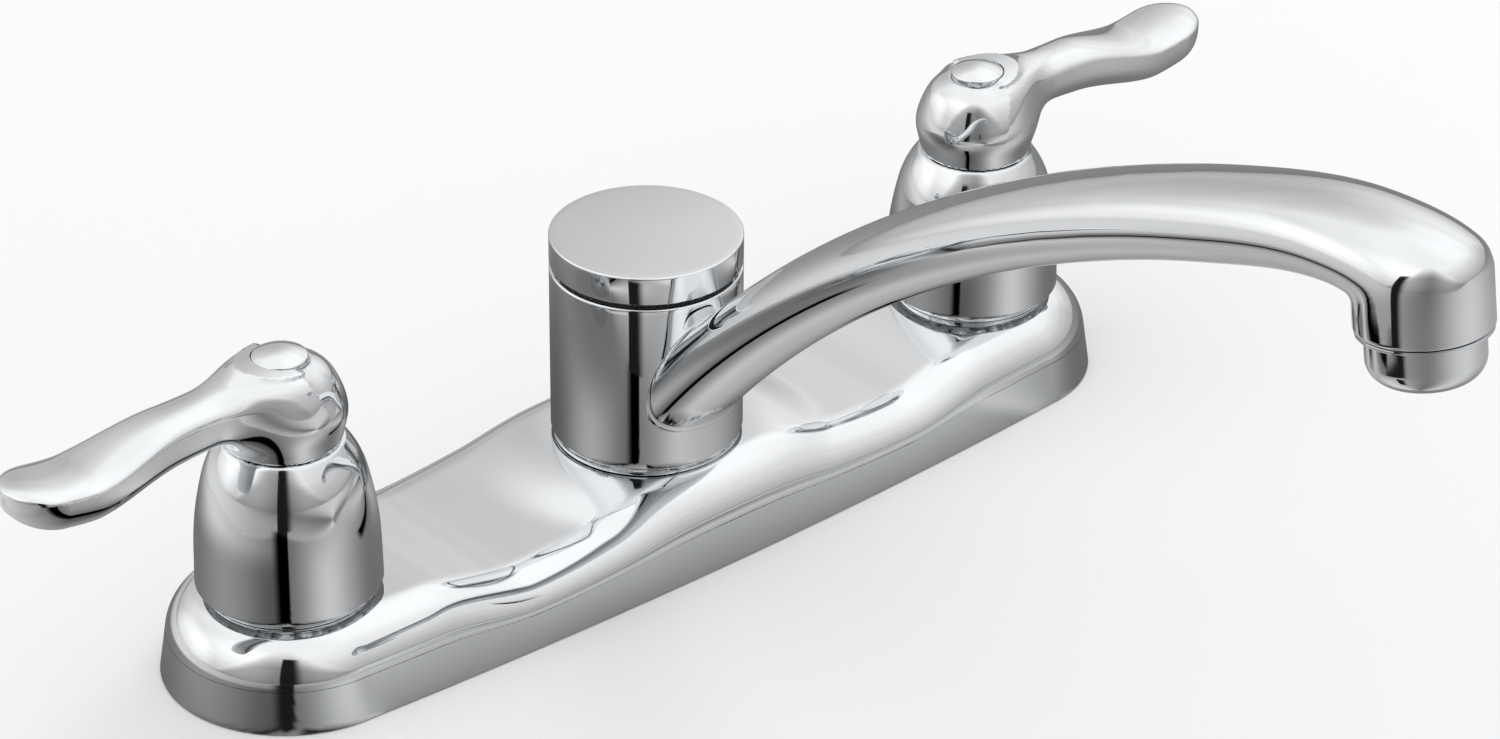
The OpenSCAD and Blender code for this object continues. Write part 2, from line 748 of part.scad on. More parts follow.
module arm_solid(wall, sides, arc_steps, bend_steps, from) {
    last = arm_end_angle + bend_lead * arc_share;
    tube_solid(concat(
        [for (i = [0 : arc_steps - 1]) arm_ring(mix(from, last, i / arc_steps), wall, sides)],
        [for (i = [0 : bend_steps]) bend_ring(i / bend_steps, wall, sides)],
        [collar_ring(-collar_len * 0.14, wall, sides)]
    ));
}

// Places its child with +Z down the outlet axis and its origin at the collar's rim
module at_outlet() {
    translate([0, rim_centre[0], rim_centre[1]]) rotate([180 - outlet_tilt, 0, 0]) children();
}

edge_bevel = 0.5;
// Lip that finishes the collar's rim
lip_r = collar_r + 0.05;
lip_h = 2;

// Hub shell, arm and outlet collar in one casting
module spout() {
    color(chrome) difference() {
        union() {
            translate([0, 0, hub_z]) rotate_extrude() polygon([
                [0, 0], [hub_r - edge_bevel, 0], [hub_r, edge_bevel], [hub_r, hub_h - edge_bevel],
                [hub_r - edge_bevel, hub_h], [0, hub_h]]);
            arm_solid(0, 36, 20, 10, root_angle);
            at_outlet() rotate_extrude() polygon([
                [0, -lip_h], [lip_r - edge_bevel, -lip_h], [lip_r, edge_bevel - lip_h], [lip_r, -edge_bevel],
                [lip_r - edge_bevel, 0], [0, 0]]);
        }
        disc(hub_z - cut, well_z + cut, post_r + run_fit);
        disc(chamber_z, chamber_z + chamber_h, chamber_r);
        disc(well_z, hub_top + cut, well_r);
        arm_solid(arm_wall, 18, 12, 6, root_angle - 1.2 * arc_share);
        at_outlet() disc(-socket_depth, cut, aerator_r - 0.5);
    }
}

// Cap that plugs the well in the top of the hub
module spout_cap() {
    z0 = hub_top + cap_gap;
    z1 = z0 + cap_h;
    color(chrome) difference() {
        union() {
            translate([0, 0, z0]) rotate_extrude() polygon([
                [0, 0], [hub_r - edge_bevel / 2, 0], [hub_r, edge_bevel / 2], [hub_r, cap_h - edge_bevel / 2],
                [hub_r - edge_bevel / 2, cap_h], [0, cap_h]]);
            disc(hub_top - 3, z0 + cut, well_r - fixed_fit);
        }
        disc(hub_top - 3 - cut, z1 - 2.4, well_r - 1.6);
    }
}

module cap_seal() {
    color(rubber) pipe(hub_top, hub_top + cap_gap, hub_r - 1.5, well_r + fixed_fit);
}

socket_r = aerator_r - 0.5;
mouth_r = aerator_r - aerator_edge_r - 0.2;

module aerator_housing() {
    steps = 8;
    skirt = aerator_len - aerator_edge_r;
    color(chrome) at_outlet() rotate_extrude() polygon(concat(
        [[socket_r - 1.6, 2 - socket_depth], [socket_r - 0.1, 2 - socket_depth], [socket_r - 0.1, 0.2],
            [flange_r - 0.2, 0.2], [flange_r, 0.4], [flange_r, 0.8], [flange_r - 0.2, 1], [aerator_r, 1]],
        [for (i = [0 : steps]) let(a = 90 * i / steps)
            [aerator_r - aerator_edge_r * (1 - cos(a)), skirt + aerator_edge_r * sin(a)]],
        [[mouth_r, aerator_len], [mouth_r, aerator_len - 2.4], [socket_r - 1.6, skirt - 1]]
    ));
}

// Plastic flow straightener seen inside the mouth
module aerator_grid() {
    pitch = 2.3;
    top = 5 - socket_depth;
    foot = aerator_len - 2.6;
    grid_r = mouth_r - 0.2;
    color(white_plastic) at_outlet() difference() {
        union() {
            disc(top, aerator_len - aerator_edge_r - 1.2, socket_r - 1.75);
            disc(top, foot + 1.4, grid_r);
        }
        for (row = [-2 : 2]) for (col = [-2 : 2])
            let(x = (col + (row % 2 == 0 ? 0 : 0.5)) * pitch, y = row * pitch * sin(60))
            if (norm([x, y]) < grid_r - 1.3)
                translate([x, y, top - cut]) cylinder(h = foot + 1.4 - top + 2 * cut, r = 0.95, $fn = 6);
    }
}

module aerator_washer() {
    color(rubber) at_outlet() pipe(0.2 - socket_depth, 1.9 - socket_depth, socket_r - 0.2, socket_r - 3.4);
}

deck_plate();
base_gasket();
centre_body();
post_o_rings();
hub_base_ring();
post_washer();
post_nut();
shank(-1);  // hot_shank
shank(1);  // cold_shank
lock_nut(-1);  // hot_lock_nut
lock_nut(1);  // cold_lock_nut
deck_washer(-1);  // hot_deck_washer
deck_washer(1);  // cold_deck_washer
valve_body(-1);  // hot_valve_body
valve_body(1);  // cold_valve_body
cross_tube(-1);  // hot_cross_tube
cross_tube(1);  // cold_cross_tube
cartridge(-1);  // hot_cartridge
cartridge(1);  // cold_cartridge
seat_disc(-1);  // hot_seat_disc
seat_disc(1);  // cold_seat_disc
cartridge_nut(-1);  // hot_cartridge_nut
cartridge_nut(1);  // cold_cartridge_nut
base_ring(-1);  // hot_base_ring
base_ring(1);  // cold_base_ring
bonnet(-1);  // hot_bonnet
bonnet(1);  // cold_bonnet
handle(-1);  // hot_handle
handle(1);  // cold_handle
stem(-1);  // hot_stem
stem(1);  // cold_stem
rotor_disc(-1);  // hot_rotor_disc
rotor_disc(1);  // cold_rotor_disc
handle_screw(-1);  // hot_handle_screw
handle_screw(1);  // cold_handle_screw
index_button(-1);  // hot_index_button
index_button(1);  // cold_index_button
spout();
spout_cap();
cap_seal();
aerator_housing();
aerator_grid();
aerator_washer();
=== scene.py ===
"""Looks of the two handle kitchen faucet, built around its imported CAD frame."""
import json
import math

import bmesh
import bpy
import numpy as np
from mathutils import Matrix, Vector


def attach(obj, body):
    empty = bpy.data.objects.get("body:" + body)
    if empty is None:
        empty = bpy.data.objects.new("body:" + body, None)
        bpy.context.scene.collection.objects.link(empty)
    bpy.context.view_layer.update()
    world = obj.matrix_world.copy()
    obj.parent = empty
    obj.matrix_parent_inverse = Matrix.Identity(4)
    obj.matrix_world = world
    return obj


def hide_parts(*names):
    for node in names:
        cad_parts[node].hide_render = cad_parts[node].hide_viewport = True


MM = 0.001
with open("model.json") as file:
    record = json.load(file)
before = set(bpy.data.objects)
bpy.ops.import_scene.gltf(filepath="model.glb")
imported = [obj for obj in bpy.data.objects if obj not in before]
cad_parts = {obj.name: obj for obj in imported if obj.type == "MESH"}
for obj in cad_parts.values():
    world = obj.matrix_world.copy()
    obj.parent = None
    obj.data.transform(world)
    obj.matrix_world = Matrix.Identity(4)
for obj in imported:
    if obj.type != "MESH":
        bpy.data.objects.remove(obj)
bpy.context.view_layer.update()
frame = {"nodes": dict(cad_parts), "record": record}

# Driving sizes in millimetres, as in part.scad. Only the lever's root is deeper here, 7.4 for 6.0.
VALVE_X = 101.6
PLATE_END_R = 29.0
PLATE_BOW = 3.6
PLATE_H = 20.0
PLATE_HUB_RISE = 0.7
PLATE_DIP = 4.0
PLATE_DRAFT = math.tan(math.radians(8.4))
PLATE_SHOULDER_R = 9.6
PLATE_WALL = 2.2
VALVE_R = 14.6
BONNET_R = 20.55
BONNET_TOP_R = 13.3
BONNET_H = 35.4
BONNET_WALL = 1.8
RING_R = 18.4
RING_BORE_R = RING_R - 3.4
RING_H = 2.1
NEST_H = 0.6
KNOB_FOOT_R = 12.9
KNOB_R = 14.1
KNOB_H = 18.3
LEVER_REACH = 70.5
LEVER_NECK_W = 13.2
LEVER_PADDLE_W = 18.6
LEVER_EDGE_H = 13.9
LEVER_DIP = 3.4
LEVER_CURL = 2.2
LEVER_ROOT_DEPTH = 7.4
LEVER_PADDLE_DEPTH = 8.5
LEVER_CROWN = 3.6
BUTTON_R = 6.15
BUTTON_PROUD = 1.4
BUTTON_DOME = 1.6
POCKET_DEPTH = 2.7
HUB_R = 21.9
HUB_H = 41.1
CAP_H = 6.7
CAP_GAP = 1.3
HUB_RING_R = 21.3
HUB_RING_H = 0.9
POST_R = 11.0
BODY_R = 15.0
WELL_R = 17.41
WELL_DEPTH = 11.0
ARM_ROOT_H = 22.9
ARM_ARC_R = 374.0
ARM_START = math.radians(48.4)
ARM_END = math.radians(14.2)
ARM_HALF = 8.85
COLLAR_R = 13.57
COLLAR_LEN = 6.4
BEND_LEAD = 15.0
BEND_RISE = 6.2
OUTLET_TILT = math.radians(9.4)
AERATOR_R = 11.7
FLANGE_R = 13.3
AERATOR_LEN = 10.9
AERATOR_EDGE_R = 4.8
SOCKET_DEPTH = 9.0
FACE_GAP = 0.3

BONNET_Z = PLATE_H + RING_H
HANDLE_Z = BONNET_Z + BONNET_H + FACE_GAP
KNOB_TOP = HANDLE_Z + KNOB_H
HUB_SEAT = PLATE_H + PLATE_HUB_RISE
HUB_Z = HUB_SEAT + HUB_RING_H + FACE_GAP
HUB_TOP = HUB_Z + HUB_H

SIDES = {"hot": -1.0, "cold": 1.0}


# Camera that matches the photo: degrees, millimetres of focal length and a place in metres
CAMERA_AZIMUTH = -41.4916
CAMERA_ELEVATION = 30.4446
CAMERA_ROLL = 0.5032
CAMERA_LENS = 123.974
CAMERA_PLACE = (-0.65202, -0.77262, 0.62943)


def make_camera():
    azimuth = math.radians(CAMERA_AZIMUTH)
    elevation = math.radians(CAMERA_ELEVATION)
    roll = math.radians(CAMERA_ROLL)
    ahead = Vector((-math.sin(azimuth) * math.cos(elevation), math.cos(azimuth) * math.cos(elevation),
                    -math.sin(elevation)))
    side = Vector((math.cos(azimuth), math.sin(azimuth), 0.0))
    up = side.cross(ahead)
    right = side * math.cos(roll) + up * math.sin(roll)
    top = up * math.cos(roll) - side * math.sin(roll)
    data = bpy.data.cameras.new("photo_camera")
    data.sensor_width = 36.0
    data.lens = CAMERA_LENS
    data.clip_start = 0.05
    data.clip_end = 200.0
    camera = bpy.data.objects.new("photo_camera", data)
    turn = Matrix((right, top, -ahead)).transposed().to_4x4()
    camera.matrix_world = Matrix.Translation(CAMERA_PLACE) @ turn
    bpy.context.collection.objects.link(camera)
    bpy.context.scene.camera = camera
    return ahead, side


AHEAD, RIGHT = make_camera()
LEVEL_AHEAD = Vector((AHEAD.x, AHEAD.y, 0.0)).normalized()


# Node helpers
class Nodes:
    """Short way to add and link shader nodes."""

    def __init__(self, tree):
        self.tree = tree
        tree.nodes.clear()

    def add(self, kind, inputs=None, **settings):
        node = self.tree.nodes.new(kind)
        for key, value in settings.items():
            setattr(node, key, value)
        for key, value in (inputs or {}).items():
            self.put(node, key, value)
        return node

    def put(self, node, key, value):
        if isinstance(value, bpy.types.NodeSocket):
            self.tree.links.new(value, node.inputs[key])
        else:
            node.inputs[key].default_value = value

    def math(self, operation, a, b):
        return self.add("ShaderNodeMath", {0: a, 1: b}, operation=operation).outputs[0]

    def dot(self, a, b):
        return self.add("ShaderNodeVectorMath", {0: a, 1: b}, operation="DOT_PRODUCT").outputs["Value"]

    def noise(self, where, scale, detail=2.0):
        node = self.add("ShaderNodeTexNoise", {"Vector": where, "Scale": scale, "Detail": detail})
        return node.outputs["Fac"]

    def spread(self, value, low, high):
        """Stretches the middle of a noise over a range."""
        node = self.add("ShaderNodeMapRange", {"Value": value, "From Min": 0.3, "From Max": 0.7,
                                               "To Min": low, "To Max": high})
        return node.outputs["Result"]

    def ramp(self, value, stops):
        """Grey tones at places along a value."""
        node = self.add("ShaderNodeValToRGB", {"Fac": value})
        line = node.color_ramp
        line.interpolation = "EASE"
        while len(line.elements) < len(stops):
            line.elements.new(0.5)
        for element, (place, tone) in zip(line.elements, stops):
            element.position = place
            element.color = (tone, tone, tone, 1.0)
        return node.outputs["Color"]

    def mix(self, share, a, b):
        node = self.add("ShaderNodeMix", data_type="RGBA")
        self.put(node, 0, share)
        self.put(node, 6, a)
        self.put(node, 7, b)
        return node.outputs[2]


def new_material(name):
    material = bpy.data.materials.new(name)
    material.use_nodes = True
    return material, Nodes(material.node_tree)


def finish_surface(nodes, inputs):
    shader = nodes.add("ShaderNodeBsdfPrincipled", inputs)
    nodes.add("ShaderNodeOutputMaterial", {"Surface": shader.outputs[0]})


def tint(colour, share):
    return tuple(min(1.0, c * share) for c in colour) + (1.0,)


def chrome(name, colour, rough):
    """Polished chrome plate: faint haze in patches and the very slight waviness of a buffed casting."""
    material, n = new_material(name)
    where = n.add("ShaderNodeTexCoord").outputs["Object"]
    haze = n.noise(where, 34.0, 3.0)
    wave = n.noise(where, 26.0, 1.0)
    bump = n.add("ShaderNodeBump", {"Strength": 0.02, "Distance": 0.0004, "Height": wave})
    finish_surface(n, {
        "Base Color": n.mix(n.spread(haze, 0.0, 1.0), tint(colour, 0.985), tint(colour, 1.015)),
        "Metallic": 1.0,
        "Roughness": n.spread(haze, rough * 0.8, rough * 1.25),
        "Normal": bump.outputs[0],
    })
    return material


def turned_metal(name, colour, rough):
    """Machined metal with fine rings around the vertical axis."""
    material, n = new_material(name)
    where = n.add("ShaderNodeTexCoord").outputs["Object"]
    rings = n.add("ShaderNodeTexWave", {"Vector": where, "Scale": 420.0, "Distortion": 0.6, "Detail": 1.0},
                  bands_direction="Z").outputs["Fac"]
    stain = n.noise(where, 60.0, 4.0)
    bump = n.add("ShaderNodeBump", {"Strength": 0.12, "Distance": 0.0002, "Height": rings})
    finish_surface(n, {
        "Base Color": n.mix(n.spread(stain, 0.0, 1.0), tint(colour, 0.88), tint(colour, 1.05)),
        "Metallic": 1.0,
        "Roughness": n.spread(stain, rough * 0.8, rough * 1.3),
        "Normal": bump.outputs[0],
    })
    return material


def moulded(name, colour, rough, grain=900.0):
    """Moulded plastic or rubber with a fine grain and slight changes of tone."""
    material, n = new_material(name)
    where = n.add("ShaderNodeTexCoord").outputs["Object"]
    fine = n.noise(where, grain, 2.0)
    tone = n.noise(where, 45.0, 2.0)
    bump = n.add("ShaderNodeBump", {"Strength": 0.15, "Distance": 0.0002, "Height": fine})
    finish_surface(n, {
        "Base Color": n.mix(n.spread(tone, 0.0, 1.0), tint(colour, 0.93), tint(colour, 1.05)),
        "Roughness": n.spread(fine, rough * 0.88, min(1.0, rough * 1.12)),
        "Normal": bump.outputs[0],
    })
    return material


CHROME_TONE = (0.795, 0.81, 0.825)
materials = {
    "chrome_plate": chrome("chrome_plate", CHROME_TONE, 0.045),
    "chrome_trim": chrome("chrome_trim", CHROME_TONE, 0.06),
    "chrome_spout": chrome("chrome_spout", CHROME_TONE, 0.04),
    "chrome_bonnet": chrome("chrome_bonnet", CHROME_TONE, 0.045),
    "chrome_handle": chrome("chrome_handle", CHROME_TONE, 0.045),
    "chrome_button": chrome("chrome_button", CHROME_TONE, 0.05),
    "brass": turned_metal("brass", (0.66, 0.47, 0.20), 0.28),
    "copper": turned_metal("copper", (0.72, 0.36, 0.22), 0.3),
    "steel": turned_metal("steel", (0.52, 0.52, 0.53), 0.3),
    "black_rubber": moulded("black_rubber", (0.012, 0.012, 0.013), 0.55),
    "white_plastic": moulded("white_plastic", (0.80, 0.80, 0.77), 0.42),
    "grey_plastic": moulded("grey_plastic", (0.42, 0.43, 0.44), 0.45),
    "dark_plastic": moulded("dark_plastic", (0.05, 0.05, 0.055), 0.5),
    "ceramic": moulded("ceramic", (0.80, 0.77, 0.70), 0.18, 300.0),
}


# Shape helpers
def ease(t):
    u = np.clip(t, 0.0, 1.0)
    return u * u * (3.0 - 2.0 * u)


def blend(a, b, t):
    return a + (b - a) * t


def natural_spline(x, y):
    """Cubic spline through the points, as a function of x and its slope."""
    x = np.asarray(x, float)
    y = np.asarray(y, float)
    gaps = np.diff(x)
    count = len(x)
    system = np.eye(count)
    right = np.zeros(count)
    for i in range(1, count - 1):
        system[i, i - 1] = gaps[i - 1]
        system[i, i] = 2.0 * (gaps[i - 1] + gaps[i])
        system[i, i + 1] = gaps[i]
        right[i] = 6.0 * ((y[i + 1] - y[i]) / gaps[i] - (y[i] - y[i - 1]) / gaps[i - 1])
    bend = np.linalg.solve(system, right)

    def value(at, slope=False):
        at = np.clip(np.asarray(at, float), x[0], x[-1])
        i = np.clip(np.searchsorted(x, at, side="right") - 1, 0, count - 2)
        h = gaps[i]
        a = (x[i + 1] - at) / h
        b = (at - x[i]) / h
        if slope:
            return ((y[i + 1] - y[i]) / h - (3 * a * a - 1) / 6 * h * bend[i]
                    + (3 * b * b - 1) / 6 * h * bend[i + 1])
        return a * y[i] + b * y[i + 1] + ((a ** 3 - a) * bend[i] + (b ** 3 - b) * bend[i + 1]) * h * h / 6
    return value


def smooth_line(points, count):
    """Points evenly along a cubic spline through the given ones."""
    points = np.asarray(points, float)
    along = np.concatenate([[0.0], np.cumsum(np.linalg.norm(np.diff(points, axis=0), axis=1))])
    at = np.linspace(0.0, along[-1], count)
    return np.stack([natural_spline(along, points[:, k])(at) for k in range(points.shape[1])], axis=1)


def rounded(corner_points, radius, steps=4):
    """Closed profile whose corners are rounded by a small radius, which may differ from corner to corner."""
    out = []
    count = len(corner_points)
    for i, point in enumerate(corner_points):
        p = np.array(point, float)
        r = radius[i] if isinstance(radius, (list, tuple)) else radius
        if r <= 0:
            out.append(p)
            continue
        a = np.array(corner_points[i - 1], float) - p
        b = np.array(corner_points[(i + 1) % count], float) - p
        a /= np.linalg.norm(a)
        b /= np.linalg.norm(b)
        half = math.acos(max(-1.0, min(1.0, float(a @ b)))) / 2
        reach = r / math.tan(half)
        mid = a + b
        centre = p + mid / np.linalg.norm(mid) * (r / math.sin(half))
        start = p + a * reach - centre
        end = p + b * reach - centre
        turn = math.atan2(start[0] * end[1] - start[1] * end[0], float(start @ end))
        for k in range(steps + 1):
            t = turn * k / steps
            c, s = math.cos(t), math.sin(t)
            out.append(centre + np.array([start[0] * c - start[1] * s, start[0] * s + start[1] * c]))
    return np.array(out)


def make_mesh(name, points, faces):
    """Object from millimetre points."""
    mesh = bpy.data.meshes.new(name)
    mesh.from_pydata((np.asarray(points, float) * MM).tolist(), [], [list(map(int, f)) for f in faces])
    mesh.validate()
    thing = bpy.data.objects.new(name, mesh)
    bpy.context.collection.objects.link(thing)
    return thing


def shade(thing, sharp_angle=35.0):
    mesh = thing.data
    mesh.shade_smooth()
    mesh.set_sharp_from_angle(angle=math.radians(sharp_angle))


def ring_faces(rows, count, start=0):
    faces = []
    for j in range(rows - 1):
        a = start + j * count
        for i in range(count):
            k = (i + 1) % count
            faces.append((a + i, a + k, a + count + k, a + count + i))
    return faces


def lathe(name, profile, segments=160, place=None):
    """Turned solid. A profile that starts and ends on the axis closes there, any other is a closed loop."""
    profile = np.asarray(profile, float)
    capped = profile[0][0] < 1e-6
    body = profile[1:-1] if capped else profile
    angles = np.linspace(0.0, 2 * math.pi, segments, endpoint=False)
    rows = [np.stack([r * np.cos(angles), r * np.sin(angles), np.full(segments, z)], axis=1) for r, z in body]
    points = np.concatenate(rows)
    faces = ring_faces(len(body), segments)
    if capped:
        first = len(points)
        points = np.concatenate([points, [[0, 0, profile[0][1]], [0, 0, profile[-1][1]]]])
        last = (len(body) - 1) * segments
        for i in range(segments):
            k = (i + 1) % segments
            faces.append((first, k, i))
            faces.append((first + 1, last + i, last + k))
    else:
        last = (len(body) - 1) * segments
        for i in range(segments):
            k = (i + 1) % segments
            faces.append((last + i, last + k, k, i))
    if place is not None:
        points = place(points)
    return make_mesh(name, points, faces)


def stack(name, rings):
    """Closed solid from rings of equal counts with a fan at both ends."""
    rings = [np.asarray(r, float) for r in rings]
    count = len(rings[0])
    points = np.concatenate(rings + [[rings[0].mean(axis=0)], [rings[-1].mean(axis=0)]])
    faces = ring_faces(len(rings), count)
    near = len(rings) * count
    last = (len(rings) - 1) * count
    for i in range(count):
        k = (i + 1) % count
        faces.append((near, k, i))
        faces.append((near + 1, last + i, last + k))
    return make_mesh(name, points, faces)


def outward(thing):
    """Turns the faces of a closed mesh outwards."""
    work = bmesh.new()
    work.from_mesh(thing.data)
    bmesh.ops.recalc_face_normals(work, faces=work.faces)
    work.to_mesh(thing.data)
    work.free()


def combine(thing, others, operation):
    """Joins or cuts a solid with others and removes them."""
    for other in others:
        outward(other)
        tool = thing.modifiers.new("combine", "BOOLEAN")
        tool.operation = operation
        tool.solver = "EXACT"
        tool.object = other
        ready = thing.evaluated_get(bpy.context.evaluated_depsgraph_get())
        mesh = bpy.data.meshes.new_from_object(ready)
        thing.modifiers.remove(tool)
        old = thing.data
        thing.data = mesh
        mesh.name = thing.name
        bpy.data.meshes.remove(old)
        bpy.data.objects.remove(other)


def rod(radius, z0, z1, x=0.0, segments=96):
    angles = np.linspace(0.0, 2 * math.pi, segments, endpoint=False)
    ring = np.stack([x + radius * np.cos(angles), radius * np.sin(angles), np.zeros(segments)], axis=1)
    return stack("rod", [ring + [0, 0, z0], ring + [0, 0, z1]])


def set_normals(thing, rule):
    """Gives corners their exact normal where the rule knows it. The rule takes points and face centres."""
    mesh = thing.data
    corners = len(mesh.loops)
    base = np.empty(corners * 3)
    mesh.corner_normals.foreach_get("vector", base)
    base = base.reshape(-1, 3)
    vertex = np.empty(corners, dtype=np.int64)
    mesh.loops.foreach_get("vertex_index", vertex)
    points = np.empty(len(mesh.vertices) * 3)
    mesh.vertices.foreach_get("co", points)
    points = points.reshape(-1, 3) / MM
    centre = np.repeat(np.array([p.center[:] for p in mesh.polygons]) / MM,
                       [p.loop_total for p in mesh.polygons], axis=0)
    face_normal = np.repeat(np.array([p.normal[:] for p in mesh.polygons]),
                            [p.loop_total for p in mesh.polygons], axis=0)
    known, exact = rule(points[vertex], centre, face_normal)
    base[known] = exact[known]
    mesh.normals_split_custom_set(base.tolist())


def dress(thing, body, slot, *nodes):
    thing.data.materials.clear()
    thing.data.materials.append(materials[slot])
    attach(thing, body)
    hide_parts(*nodes)


# Deck plate
FLAT_VALVE = PLATE_END_R * 0.66
DIP_X = VALVE_X * 0.55
FLAT_HUB = HUB_R + 1.2
FADE_HUB = FLAT_HUB + 20.0


def crest(x, y):
    """Height of the plate's top at a place."""
    ax = np.abs(x)
    dip = np.where(ax < DIP_X, ease(ax / DIP_X), 1 - ease((ax - DIP_X) / (VALVE_X - FLAT_VALVE - DIP_X)))
    mound = 1 - ease((np.hypot(x, y) - FLAT_HUB) / (FADE_HUB - FLAT_HUB))
    return blend(PLATE_H - PLATE_DIP * dip, HUB_SEAT, mound)


def plate_outline(inset, squeeze=1.0, end_steps=40, side_steps=64):
    a = np.linspace(0.0, math.pi / 2, end_steps, endpoint=False)
    x = VALVE_X * (1 - np.arange(side_steps + 1) / side_steps)
    end = np.stack([VALVE_X + (PLATE_END_R - inset) * np.cos(a), (PLATE_END_R - inset) * np.sin(a)], axis=1)
    side = np.stack([x, PLATE_END_R - inset + PLATE_BOW * (1 - (x / VALVE_X) ** 2)], axis=1)
    q = np.concatenate([end, side])
    whole = np.concatenate([q, (q * [-1, 1])[-2::-1], (q * [-1, -1])[1:], (q * [1, -1])[-2:0:-1]])
    return whole * [1.0, squeeze]


def plate_ring(share, radius, wall, squeeze=1.0):
    height = PLATE_H - wall
    rise = max(0.0, share * height - (height - radius)) / radius
    inset = PLATE_DRAFT * share * height + radius * (1 - math.sqrt(max(0.0, 1 - rise * rise))) + wall
    line = plate_outline(inset, squeeze)
    return np.column_stack([line, share * (crest(line[:, 0], line[:, 1]) - wall)])


def make_plate():
    shoulder = 1 - PLATE_SHOULDER_R / PLATE_H
    arc = [shoulder + (1 - shoulder) * math.sin(math.radians(t)) for t in np.linspace(0, 90, 19)]
    wall = [0.0, 0.02, 0.1, 0.2, 0.35, 0.5, shoulder - 0.03]
    outer = [plate_ring(s, PLATE_SHOULDER_R, 0.0) for s in wall + arc]
    outer += [plate_ring(1.0, PLATE_SHOULDER_R, 0.0, q) for q in np.linspace(0.95, 0.05, 19)]
    core_r = PLATE_SHOULDER_R - 2.0
    core = 1 - core_r / (PLATE_H - PLATE_WALL)
    inner = [plate_ring(s, core_r, PLATE_WALL) for s in
             [0.0, core / 2] + [blend(core, 1, math.sin(math.radians(t))) for t in (0, 22, 45, 68, 90)]]
    inner += [plate_ring(1.0, core_r, PLATE_WALL, q) for q in (0.7, 0.4, 0.1)]
    count = len(outer[0])
    points = np.concatenate(outer + inner)
    faces = ring_faces(len(outer), count)
    start = len(outer) * count
    faces += [f[::-1] for f in ring_faces(len(inner), count, start)]
    for i in range(count):
        k = (i + 1) % count
        faces.append((i, start + i, start + k, k))
    half = count // 2
    for base, back in ((start - count, False), (len(points) - count, True)):
        for i in range(half):
            ring = [base + i, base + i + 1, base + (count - i - 1) % count, base + (count - i) % count]
            face = [v for j, v in enumerate(ring) if v not in ring[:j]]
            faces.append(face[::-1] if back else face)
    plate = make_mesh("deck_plate_shell", points, faces)
    outward(plate)
    combine(plate, [rod(VALVE_R + 0.3, 9, 22, -VALVE_X), rod(VALVE_R + 0.3, 9, 22, VALVE_X),
                    rod(BODY_R + 0.3, 9, 23)], "DIFFERENCE")
    shade(plate)
    dress(plate, "deck", "chrome_plate", "deck_plate")


def shift(x):
    return lambda points: points + [x, 0.0, 0.0]


# Rings, bonnets and buttons
def make_rings():
    profile = rounded([(BODY_R + 0.2, HUB_SEAT), (HUB_RING_R, HUB_SEAT), (HUB_RING_R, HUB_SEAT + HUB_RING_H),
                       (BODY_R + 0.2, HUB_SEAT + HUB_RING_H)], 0.25)
    ring = lathe("hub_base_ring_piece", profile)
    outward(ring)
    shade(ring, 50)
    dress(ring, "deck", "chrome_trim", "hub_base_ring")
    for name, side in SIDES.items():
        top = BONNET_Z + NEST_H
        profile = rounded([(RING_BORE_R, PLATE_H), (RING_R, PLATE_H), (RING_R, top), (RING_BORE_R, top)], 0.3)
        ring = lathe(f"{name}_base_ring_piece", profile, place=shift(side * VALVE_X))
        outward(ring)
        shade(ring, 50)
        dress(ring, "deck", "chrome_trim", f"{name}_base_ring")


BELL = [(0, 0), (0.02, 0.17), (0.05, 0.34), (0.135, 0.51), (0.28, 0.67), (0.43, 0.79), (0.67, 0.9), (1, 1)]


def make_bonnets():
    outer = smooth_line([(blend(BONNET_R, BONNET_TOP_R, a), b * BONNET_H) for a, b in BELL], 72)
    lining = smooth_line([(blend(BONNET_R, BONNET_TOP_R, a) - BONNET_WALL,
                           b * (BONNET_H - BONNET_WALL * float(ease(b * 2)))) for a, b in BELL[1:]], 36)
    mouth = BONNET_TOP_R - BONNET_WALL - 1.6
    skin = outer[(outer[:, 1] > 0.5) & (outer[:, 1] < BONNET_H - 0.3)]
    foot = [(RING_R + 0.05, 0.0), (BONNET_R - 0.5, 0.0), (BONNET_R - 0.15, 0.13), (BONNET_R - 0.02, 0.4)]
    top = [(BONNET_TOP_R + 0.02, BONNET_H - 0.12), (BONNET_TOP_R - 0.2, BONNET_H), (mouth, BONNET_H),
           (mouth, BONNET_H - BONNET_WALL)]
    floor_z = float(lining[0][1])
    inside = [tuple(p) for p in lining[::-1]]
    close = [(VALVE_R + 0.05, floor_z), (VALVE_R + 0.05, NEST_H), (RING_R + 0.05, NEST_H)]
    profile = np.array(foot + [tuple(p) for p in skin] + top + inside + close)
    for name, side in SIDES.items():
        bonnet = lathe(f"{name}_bonnet_piece", profile + [0.0, BONNET_Z], 192, shift(side * VALVE_X))
        outward(bonnet)
        shade(bonnet, 40)
        dress(bonnet, "deck", "chrome_bonnet", f"{name}_bonnet")


